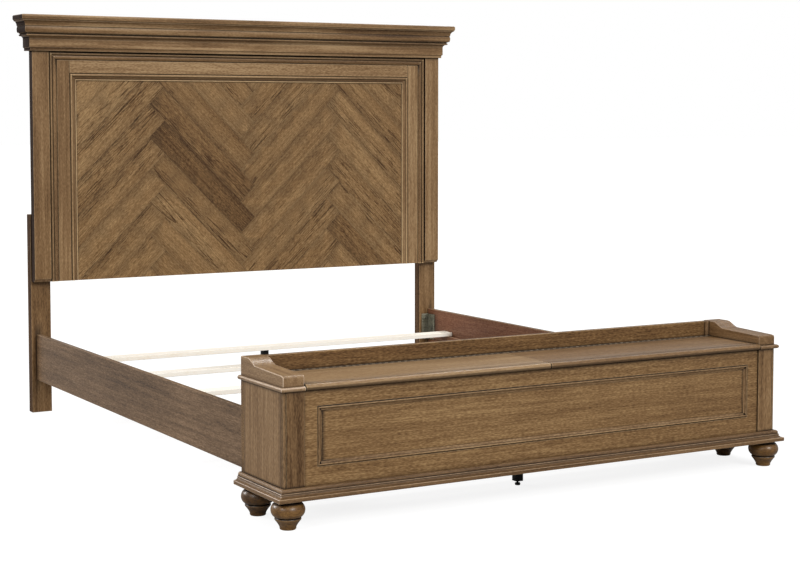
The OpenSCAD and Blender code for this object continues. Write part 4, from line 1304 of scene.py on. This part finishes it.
@dataclass
class Headboard:
    """Headboard: crown, pilasters, mouldings, flat frame, herringbone veneer and bolted legs.

    first_corner is the height of the first zigzag's corner over the panel's lower edge, rows are
    the planks laid in a column, and tones tells single planks by column and row from the rest.
    """

    plank_length: float = 617 * MM
    plank_width: float = 101 * MM
    plank_joint: float = 0.3 * MM
    first_corner: float = 105 * MM
    rows: range = range(-5, 10)
    seed: int = 11
    figures: float = 9.0
    trim_snap: float = 0.01 * MM
    tone_spread: float = 0.045
    tones: dict[tuple[int, int], float] = field(default_factory=lambda: {
        (-1, 1): -0.36, (-1, 2): -0.24, (-1, 3): -0.12, (1, -2): -0.14,
        (-2, 3): 0.08, (-2, 4): 0.10, (-2, 2): 0.04, (0, 0): -0.03})

    def build(self, shop: Workshop) -> None:
        """Builds every part of the headboard.

        Args:
            shop: The workshop.
        """
        # The faces of crown, pilasters and legs that look along X get painted shade.
        for part, tone in (("cap", 0.0), ("cornice", -0.05), ("bed_mould", -0.1), ("frieze", 0.0)):
            shop.dress(f"crown_{part}", OAK_CROWN, arris=0.8 * MM, axes="XZ", tone=tone, ends=OAK_SHADED_END)
        shop.dress("top_rail", OAK_ACROSS, arris=2.0 * MM, tone=0.16)
        # The right stile and pilaster are painted lighter and the left leg darker: painted light and painted
        # shade.
        for side, stile, pilaster, leg in (("left", 0.0, 0.0, -0.16), ("right", 0.1, 0.08, 0.0)):
            shop.dress(f"{side}_stile", OAK_UPRIGHT, arris=2.0 * MM, tone=stile)
            shop.dress(f"{side}_pilaster", OAK_UPRIGHT, arris=1.2 * MM, tone=pilaster, ends=OAK_SHADED_END)
            shop.dress(f"{side}_headboard_leg", OAK_UPRIGHT, arris=1.0 * MM, tone=leg, ends=OAK_SHADED_EDGE,
                       beside=(f"{side}_pilaster",))
        shop.dress("headboard_core", CARCASS_ACROSS)
        for node, tone in (("inner_moulding", 0.0), ("outer_moulding", -0.2)):
            self._moulding(shop, node, tone)
        self._veneer(shop)

    @staticmethod
    def _moulding(shop: Workshop, node: str, tone: float) -> None:
        """A moulding whose uprights and cross piece each have their own fibre direction.

        Args:
            shop: The workshop.
            node: Name of the part.
            tone: How much lighter than its finish it is.
        """
        obj = shop.dress(node, OAK_MOULDING, arris=0.3 * MM, axes="XZ", tone=tone)
        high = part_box(node)[1]
        second_finish(obj.data, OAK_MOULDING_UPRIGHT,
                      lambda face: high.x - abs(face.center.x) < high.z - face.center.z)

    def _planks(self, low: Vector, high: Vector) -> tuple[list[Vector], dict[str, list[Any]]]:
        """Lays planks in zigzag columns until they cover the panel.

        Args:
            low: The panel's lowest corner.
            high: The panel's highest corner.

        Returns:
            The planks' middles, and their turns, tones and shifts by name.
        """
        step = self.plank_width * math.sqrt(2)
        column = self.plank_length / math.sqrt(2)
        zigzag = self.plank_width / math.sqrt(2)
        aside = math.ceil(high.x / column)
        chance = random.Random(self.seed)
        places: list[Vector] = []
        layers: dict[str, list[Any]] = {"turn": [], "tone": [], "shift": []}
        for number in range(-aside, aside):
            rises = number % 2 == 0
            slope = math.radians(45 if rises else -45)
            half_w = self.plank_width / 2 * (1 if rises else -1)
            half_l = self.plank_length / 2
            offset = Vector((half_l * math.cos(slope) - half_w * math.sin(slope), 0.0,
                             half_l * math.sin(slope) + half_w * math.cos(slope)))
            for row in self.rows:
                start = Vector((number * column + zigzag / 2, 0.0,
                                low.z + self.first_corner + row * step + (0.0 if rises else column)))
                places.append(start + offset + Vector((0.0, (low.y + high.y) / 2, 0.0)))
                layers["turn"].append((0.0, -slope, 0.0))
                tone = self.tones.get((number, row), 0.0) + chance.uniform(-1, 1) * self.tone_spread
                layers["tone"].append(tone)
                layers["shift"].append(chance.uniform(0, self.figures))
        return places, layers

    def _veneer(self, shop: Workshop) -> None:
        """Makes the planks and trims them to the panel.

        Args:
            shop: The workshop.
        """
        low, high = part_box("herringbone_veneer")
        pattern = Pattern("plank_pattern", {
            "Length": self.plank_length - self.plank_joint, "Width": self.plank_width - self.plank_joint,
            "Thickness": high.y - low.y})
        tree = pattern.tree
        length, thickness, width = (pattern.given(name) for name in ("Length", "Thickness", "Width"))
        plank = tree.node("GeometryNodeMeshCube", {}, {"Size": tree.combine(length, thickness, width)})
        along, into, side = tree.split(tree.node("GeometryNodeInputPosition"))
        plank = tree.node("GeometryNodeStoreNamedAttribute", {"data_type": "FLOAT_VECTOR", "domain": "POINT"},
                          {"Geometry": plank, "Name": "fibre", "Value": tree.combine(along, side, into)})
        points = point_cloud("plank_places", *self._planks(low, high))
        obj = pattern.run(pattern.on_points(plank), points, "herringbone_veneer_piece", OAK_HERRINGBONE)
        bm = bmesh.new()
        bm.from_mesh(obj.data)
        for edge, outward in ((low, (-1, 0, 0)), (high, (1, 0, 0)), (low, (0, 0, -1)), (high, (0, 0, 1))):
            cut = bmesh.ops.bisect_plane(bm, geom=all_of(bm), plane_co=edge, plane_no=outward,
                                         clear_outer=True, dist=self.trim_snap)
            rim = [e for e in cut["geom_cut"] if isinstance(e, bmesh.types.BMEdge)]
            bmesh.ops.holes_fill(bm, edges=rim, sides=0)
        shop.divide(bm, "XZ")
        bm.to_mesh(obj.data)
        bm.free()
        shop.finish_piece(obj, OAK_HERRINGBONE, "herringbone_veneer")


@dataclass
class Deck:
    """Side rails, cleats, slats and the support legs under the slats."""

    slat_count: int = 4
    seed: int = 5
    slat_tones: tuple[float, float] = (-0.05, 0.08)
    inward: float = 0.8

    def build(self, shop: Workshop) -> None:
        """Builds every part between headboard and bench.

        Args:
            shop: The workshop.
        """
        for side, middle in (("left", 1.0), ("right", -1.0)):
            rail = shop.dress(f"{side}_side_rail", RAIL_OUTSIDE, arris=1.5 * MM)
            second_finish(rail.data, RAIL_INSIDE, lambda face: face.normal.x * middle > self.inward)
            shop.dress(f"{side}_slat_cleat", RAIL_INSIDE, arris=0.8 * MM, tone=-0.05)
        chance = random.Random(self.seed)
        for number in range(1, self.slat_count + 1):
            shop.dress(f"slat_{number}", SOFTWOOD, arris=1.5 * MM, tone=chance.uniform(*self.slat_tones))
            shop.dress(f"slat_glide_{number}", GLIDE_NYLON, arris=0.2 * MM, axes="")
        shop.dress("slat_legs", BLACK_PAINT, arris=1.2 * MM, axes="Z")
        shop.dress("rail_brackets", ZINC_STEEL, arris=0.4 * MM, axes="Z")


@dataclass
class BunFoot:
    """Turned bun foot: plinth, taper, ring, ball and dowel, from its radii and heights.

    ball_low, ball_high, ring_low and ring_high are where the arcs of ball and ring begin and end,
    in degrees from level, and the steps say how many parts arcs, taper and circle have.
    """

    height: float = 92 * MM
    ball: float = 54 * MM
    ball_round: float = 26.5 * MM
    ball_low: float = 53.0
    ball_high: float = 72.0
    ball_steps: int = 36
    ring: float = 42 * MM
    ring_round: float = 5 * MM
    ring_low: float = -45.0
    ring_high: float = 90.0
    ring_steps: int = 14
    ring_step: float = 6 * MM
    groove: float = 1 * MM
    base: float = 26 * MM
    plinth: float = 7 * MM
    bend: float = 1.3
    taper_steps: int = 12
    neck: float = 4 * MM
    neck_step: float = 6 * MM
    chamfer: float = 3 * MM
    chamfer_in: float = 2 * MM
    dowel: float = 5 * MM
    dowel_length: float = 13 * MM
    turns: int = 96
    merge: float = 0.01 * MM
    shaded: float = -0.2

    @staticmethod
    def _arc(centre: tuple[float, float], radius: float, first: float, last: float,
             count: int) -> list[tuple[float, float]]:
        """Points along an arc.

        Args:
            centre: Its centre, as distance from the axis and height.
            radius: Its radius.
            first: Where it begins, in degrees.
            last: Where it ends, in degrees.
            count: How many parts it has.

        Returns:
            Radius and height of each point.
        """
        angles = (math.radians(first + (last - first) * i / count) for i in range(count + 1))
        return [(centre[0] + radius * math.cos(a), centre[1] + radius * math.sin(a)) for a in angles]

    def profile(self) -> list[tuple[float, float]]:
        """Radius and height of the outline from the floor up to the dowel's top.

        Returns:
            The outline's points, in order.
        """
        ball = (self.ball - self.ball_round, self.height - self.neck - self.ball_round)
        groove_z = ball[1] - self.ball_round * math.sin(math.radians(self.ball_low)) - self.groove
        ring = (self.ring - self.ring_round, groove_z - self.groove - self.ring_round)
        shoulder = self._arc(ring, self.ring_round, self.ring_low, self.ring_high, self.ring_steps)
        out, up = shoulder[0][0] - self.base, shoulder[0][1] - self.plinth
        steps = self.taper_steps
        taper = [(self.base + out * (i / steps) ** self.bend, self.plinth + up * i / steps)
                 for i in range(steps)]
        top = self.height + self.dowel_length
        return ([(0.0, 0.0), (self.base - self.chamfer_in, 0.0), (self.base, self.chamfer)] + taper + shoulder
                + [(self.ring - self.ring_step, groove_z)]
                + self._arc(ball, self.ball_round, -self.ball_low, self.ball_high, self.ball_steps)
                + [(ball[0] + self.neck_step, self.height), (self.dowel, self.height),
                   (self.dowel, top), (0.0, top)])

    def build(self, shop: Workshop, node: str) -> None:
        """Turns one foot on the place of its part.

        Args:
            shop: The workshop.
            node: Name of the foot's part.
        """
        low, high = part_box(node)
        middle = Vector(((low.x + high.x) / 2, (low.y + high.y) / 2, low.z))
        bm = bmesh.new()
        outline = [bm.verts.new(middle + Vector((r, 0.0, z))) for r, z in self.profile()]
        edges = [bm.edges.new(pair) for pair in zip(outline, outline[1:])]
        bmesh.ops.spin(bm, geom=outline + edges, cent=middle, axis=(0, 0, 1), angle=2 * math.pi,
                       steps=self.turns, use_duplicate=False)
        bmesh.ops.remove_doubles(bm, verts=bm.verts, dist=self.merge)
        bmesh.ops.recalc_face_normals(bm, faces=bm.faces)
        tone = self.shaded if "back" in node else 0.0
        shop.finish_piece(object_of(bm, f"{node}_piece"), OAK_TURNED, node, tone)


@dataclass
class PianoHinge:
    """One leaf of a piano hinge: every second knuckle, its web and the leaf's strip.

    bore is half the pin's room, web and web_low are the web's height and how far it lies below the
    pin, as parts of the radius, and narrow is how much less a knuckle's ends are than its middle.
    """

    radius: float = 3 * MM
    bore: float = 1.25 * MM
    gap: float = 0.4 * MM
    leaf: float = 0.8 * MM
    leaf_height: float = 17 * MM
    reach: float = 4 * MM
    web: float = 0.5
    web_low: float = 0.75
    narrow: float = 0.12
    narrow_from: float = 0.5
    knuckle_rings: int = 6
    count: int = 74
    sides: int = 16

    def _knuckle(self, pattern: Pattern, back: int) -> Sock:
        """One knuckle with rounded ends, and the web that holds it.

        Args:
            pattern: The tree.
            back: 1 if the leaf lies behind the pin, -1 if before it.

        Returns:
            The knuckle, with the pin along X through the origin.
        """
        tree = pattern.tree
        radius, length, reach = (pattern.given(name) for name in ("Radius", "Length", "Reach"))
        ends = [tree.combine(length * half, 0.0, 0.0) for half in (-0.5, 0.5)]
        line = tree.node("GeometryNodeMeshLine", {"mode": "END_POINTS"}, {
            "Count": self.knuckle_rings, "Start Location": ends[0], "Offset": ends[1]})
        curve = tree.node("GeometryNodeMeshToCurve", {}, {"Mesh": line})
        place = tree.split(tree.node("GeometryNodeInputPosition"))[0]
        inner = (1.0 - (place.absolute() / (length * 0.5))).rise(0.0, self.narrow_from)
        curve = tree.node("GeometryNodeSetCurveRadius", {}, {
            "Curve": curve, "Radius": inner * self.narrow + (1.0 - self.narrow)})
        ring = tree.node("GeometryNodeCurvePrimitiveCircle", {}, {"Resolution": self.sides, "Radius": radius})
        barrel = tree.node("GeometryNodeCurveToMesh", {}, {
            "Curve": curve, "Profile Curve": ring, "Fill Caps": True})
        web = tree.node("GeometryNodeMeshCube", {}, {"Size": tree.combine(length, reach, radius * self.web)})
        web = pattern.moved(web, tree.combine(0.0, reach * (0.5 * back), radius * -self.web_low))
        return pattern.joined(barrel, web)

    def build(self, shop: Workshop, node: str, axis: tuple[float, float],
              spans: Sequence[tuple[float, float, int]], back: int, finish: Finish) -> None:
        """Builds the leaves of one frame part.

        Args:
            shop: The workshop.
            node: Name of the part.
            axis: Y and Z of the pin.
            spans: For each leaf its two ends along X, and which knuckle it starts with.
            back: 1 if the leaf lies behind the pin, -1 if before it.
            finish: Its finish.
        """
        pitch = abs(spans[0][1] - spans[0][0]) / self.count
        places = [Vector((low + (high - low) * (k + 0.5) / self.count, axis[0], axis[1]))
                  for low, high, start in spans for k in range(start, self.count, 2)]
        pattern = Pattern("hinge_pattern", {
            "Radius": self.radius, "Length": pitch - self.gap, "Reach": self.reach})
        knuckles = pattern.on_points(self._knuckle(pattern, back))
        points = point_cloud("knuckle_places", places, {"turn": [(0.0, 0.0, 0.0)] * len(places)})
        obj = pattern.run(knuckles, points, f"{node}_piece", finish)
        bm = bmesh.new()
        bm.from_mesh(obj.data)
        near, far = sorted((self.reach * back, (self.reach - self.leaf) * back))
        for low, high, _ in spans:
            for vert in bmesh.ops.create_cube(bm, size=1.0)["verts"]:
                vert.co = Vector((low if vert.co.x < 0 else high, axis[0] + (near if vert.co.y < 0 else far),
                                  axis[1] - (self.leaf_height if vert.co.z < 0 else self.bore)))
        bmesh.ops.recalc_face_normals(bm, faces=bm.faces)
        bm.to_mesh(obj.data)
        bm.free()
        shop.finish_piece(obj, finish, node)


@dataclass
class StorageBench:
    """Storage bench at the bed's foot: carcass, arms, lids, hinges, base moulding and feet.

    polish is how bright the painted highlight on the upper side of the bead round the arms is, where its
    slope lies in polished.
    soil_and_shade_beside and shade_under are the glaze and painted shade beside a lid's groove and the
    painted shade under its rounded edge.
    """

    bead_height: float = 14 * MM
    polish: float = 0.9
    bead_highlight_slopes: tuple[float, float] = (0.3, 0.95)
    groove_in: float = 24 * MM
    groove: float = 1.5 * MM
    groove_soil_and_shade: float = 4 * MM
    soil_and_shade_beside: float = 0.35
    shade_under: float = 0.5
    foot: BunFoot = field(default_factory=BunFoot)
    hinge: PianoHinge = field(default_factory=PianoHinge)

    def build(self, shop: Workshop) -> None:
        """Builds every part of the bench.

        Args:
            shop: The workshop.
        """
        front = "base_moulding_front"
        # The left arm is painted lighter, with brighter arrises, and the right one darker: painted highlights
        # and painted shade.
        for side, post, arm, top in (("left", -0.3, OAK_ARM, 0.08), ("right", -0.14, OAK_ARM_SHADED, -0.12)):
            base = (f"base_moulding_{side}", front)
            shop.dress(f"{side}_end_panel", OAK_UPRIGHT, arris=1.0 * MM, tone=0.03, beside=base)
            shop.dress(f"{side}_front_post", OAK_UPRIGHT, arris=0.8 * MM, tone=post, beside=base)
            piece = shop.dress(f"{side}_arm", arm, arris=2.2 * MM, tone=top, beside=(f"{side}_lid",),
                               shortest=1.5 * MM, segments=3)
            self._polish(piece.data, *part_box(f"{side}_arm"))
            shop.dress(base[0], OAK_BASE_LENGTHWISE, arris=0.5 * MM, axes="YZ", tone=-0.08)
        shop.dress("front_panel", OAK_FRONT, arris=1.2 * MM, beside=("front_panel_moulding", front))
        shop.dress("back_board", OAK_FRONT, arris=1.2 * MM, tone=-0.15, beside=("left_lid", "right_lid"))
        shop.dress(front, OAK_BASE, arris=0.5 * MM, axes="XZ", tone=-0.26)
        shop.dress("hinge_rail", OAK_FRONT, arris=0.8 * MM, tone=-0.1)
        shop.dress("corner_beads", OAK_BEAD, arris=0.4 * MM, axes="Z", tone=-0.2)
        for node in ("bottom_board", "centre_divider"):
            shop.dress(node, CARCASS)
        shop.dress("corner_blocks", BLOCK_WOOD, arris=1.0 * MM)
        shop.dress("bench_leg", BLACK_PAINT, arris=1.2 * MM, axes="Z")
        shop.dress("bench_glide", GLIDE_NYLON, arris=0.2 * MM, axes="")
        self._panel_moulding(shop)
        self._lids(shop)
        for node in ("left_front_foot", "right_front_foot", "left_back_foot", "right_back_foot"):
            self.foot.build(shop, node)

    def _polish(self, mesh: bpy.types.Mesh, low: Vector, high: Vector) -> None:
        """Paints a highlight on the upper side of the bead round an arm's foot.

        Args:
            mesh: The arm's mesh.
            low: The arm's lowest corner.
            high: The arm's highest corner.
        """
        rubbed_and_lit = []
        half = self.bead_height / 2
        for face in mesh.polygons:
            at = face.center
            proud = min(at.x - low.x, high.x - at.x, at.y - low.y) < half
            on_bead = low.z + half < at.z < low.z + self.bead_height
            sloped = self.bead_highlight_slopes[0] < face.normal.z < self.bead_highlight_slopes[1]
            rubbed_and_lit.append(self.polish * (proud and on_bead and sloped))
        write_layer(mesh, "polish", rubbed_and_lit, "FACE")

    @staticmethod
    def _panel_moulding(shop: Workshop) -> None:
        """The moulding round the sunk field, its two ends with upright fibres.

        Args:
            shop: The workshop.
        """
        node = "front_panel_moulding"
        obj = shop.dress(node, OAK_STICKING, arris=0.25 * MM, axes="XZ")
        low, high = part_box(node)

        def at_end(face: bpy.types.MeshPolygon) -> bool:
            """Whether a face lies nearer to an end than to the upper or lower edge."""
            at = face.center
            return high.x - abs(at.x) < min(high.z - at.z, at.z - low.z)

        second_finish(obj.data, OAK_STICKING_UPRIGHT, at_end)

    def _lids(self, shop: Workshop) -> None:
        """Both lids with their hinges.

        Args:
            shop: The workshop.
        """
        low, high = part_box("right_lid")
        pin_low, pin_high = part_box("hinge_pins")
        axis = ((pin_low.y + pin_high.y) / 2, (pin_low.z + pin_high.z) / 2)
        # The left lid is painted lighter than the right: a painted reflection.
        for side, sign, tone in (("left", -1.0, 0.2), ("right", 1.0, -0.04)):
            lid = shop.dress(f"{side}_lid", OAK_TOP, arris=2.4 * MM, tone=tone, shortest=0.4 * MM)
            self._soil(lid.data, low, high)
            self.hinge.build(shop, f"{side}_hinge_leaf", axis, [(sign * low.x, sign * high.x, 1)],
                             back=-1, finish=HINGE_SHADED)
        self.hinge.build(shop, "hinge_fixed_leaves", axis, [(low.x, high.x, 0), (-low.x, -high.x, 0)],
                         back=1, finish=HINGE_STEEL)
        shop.keep("hinge_pins", HINGE_STEEL)

    def _soil(self, mesh: bpy.types.Mesh, low: Vector, high: Vector) -> None:
        """Glaze and painted shade in and beside a lid's groove, and painted shade under its rounded edge.

        Args:
            mesh: The lid's mesh.
            low: The lid's lowest corner.
            high: The lid's highest corner.
        """
        soil = []
        middle = (low.z + high.z) / 2
        for vert in mesh.vertices:
            off = abs(vert.co.y - low.y - self.groove_in - self.groove / 2)
            beside = vert.co.z > middle and off < self.groove_soil_and_shade
            # Painted shade under the rounded edge.
            under = vert.co.z < middle and vert.co.y < low.y + (high.z - low.z) / 2
            in_groove = beside and off < self.groove
            soil.append(1.0 if in_groove else self.soil_and_shade_beside * beside + self.shade_under * under)
        write_layer(mesh, "soil", soil)


@dataclass(frozen=True)
class Lamp:
    """A far soft lamp: the side it stands on, its watts for a square metre, its width in degrees."""

    name: str
    side: tuple[float, float, float]
    power: float
    width: float

    def light(self) -> None:
        """Puts the lamp into the scene."""
        lamp = bpy.data.lights.new(self.name, "SUN")
        lamp.energy, lamp.angle = self.power, math.radians(self.width)
        new_object(self.name, lamp).rotation_euler = Vector(self.side).to_track_quat("Z", "Y").to_euler()


@dataclass
class Studio:
    """Camera, floor, backdrop light and soft lamps."""

    place: tuple[float, float, float] = (-3.2581, -5.8702, 1.2809)
    yaw: float = -29.937
    pitch: float = 3.749
    lens: float = 76.81
    sensor: float = 36.0
    shift: float = -0.0781
    sight: float = 200.0
    floor_half: float = 60.0
    floor_parts: int = 8
    fill: float = 0.45
    lamps: tuple[Lamp, ...] = (
        Lamp("left_lamp", (-0.756, -0.37, 0.545), 0.95, 24.0),
        Lamp("right_lamp", (0.16, -0.82, 0.545), 1.6, 22.0),
        Lamp("rim_lamp", (-0.55, 0.75, 0.45), 1.3, 12.0),
        Lamp("top_lamp", (0.5, 0.37, 0.78), 0.6, 10.0))

    def build(self) -> None:
        """Builds camera, floor, world and lamps."""
        camera = bpy.data.cameras.new("camera")
        camera.lens, camera.sensor_width, camera.shift_y = self.lens, self.sensor, self.shift
        camera.clip_end = self.sight
        obj = new_object("camera", camera)
        obj.location = self.place
        obj.rotation_euler = (math.radians(90.0 - self.pitch), 0.0, math.radians(self.yaw))
        bpy.context.scene.camera = obj
        self._floor()
        self._world()
        for lamp in self.lamps:
            lamp.light()
        bpy.context.scene.view_settings.view_transform = "Standard"

    def _floor(self) -> None:
        """A wide white floor."""
        bm = bmesh.new()
        bmesh.ops.create_grid(bm, x_segments=self.floor_parts, y_segments=self.floor_parts,
                              size=self.floor_half)
        floor = object_of(bm, "studio_floor")
        floor.data.materials.append(Floor().material())

    def _world(self) -> None:
        """Even light from all round, white where it is seen."""
        world = bpy.data.worlds.new("studio_world")
        world.use_nodes = True
        tree = Tree(world.node_tree)
        strength = direct_view(tree) * (1.0 - self.fill) + self.fill
        light = tree.node("ShaderNodeBackground", {}, {"Color": (1.0, 1.0, 1.0, 1.0), "Strength": strength})
        tree.node("ShaderNodeOutputWorld", {}, {"Surface": light})
        bpy.context.scene.world = world


def main() -> None:
    """Loads the frame, builds the studio and the sub-assemblies round it, and measures every piece."""
    logging.basicConfig(level=logging.INFO, format="%(name)s %(message)s")
    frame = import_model()
    Studio().build()
    shop = Workshop(frame["record"], frame["nodes"])
    Headboard().build(shop)
    Deck().build(shop)
    StorageBench().build(shop)
    HexBolts().build(shop)
    WoodScrews().build(shop)
    shop.age()


if __name__ == "__main__":
    main()
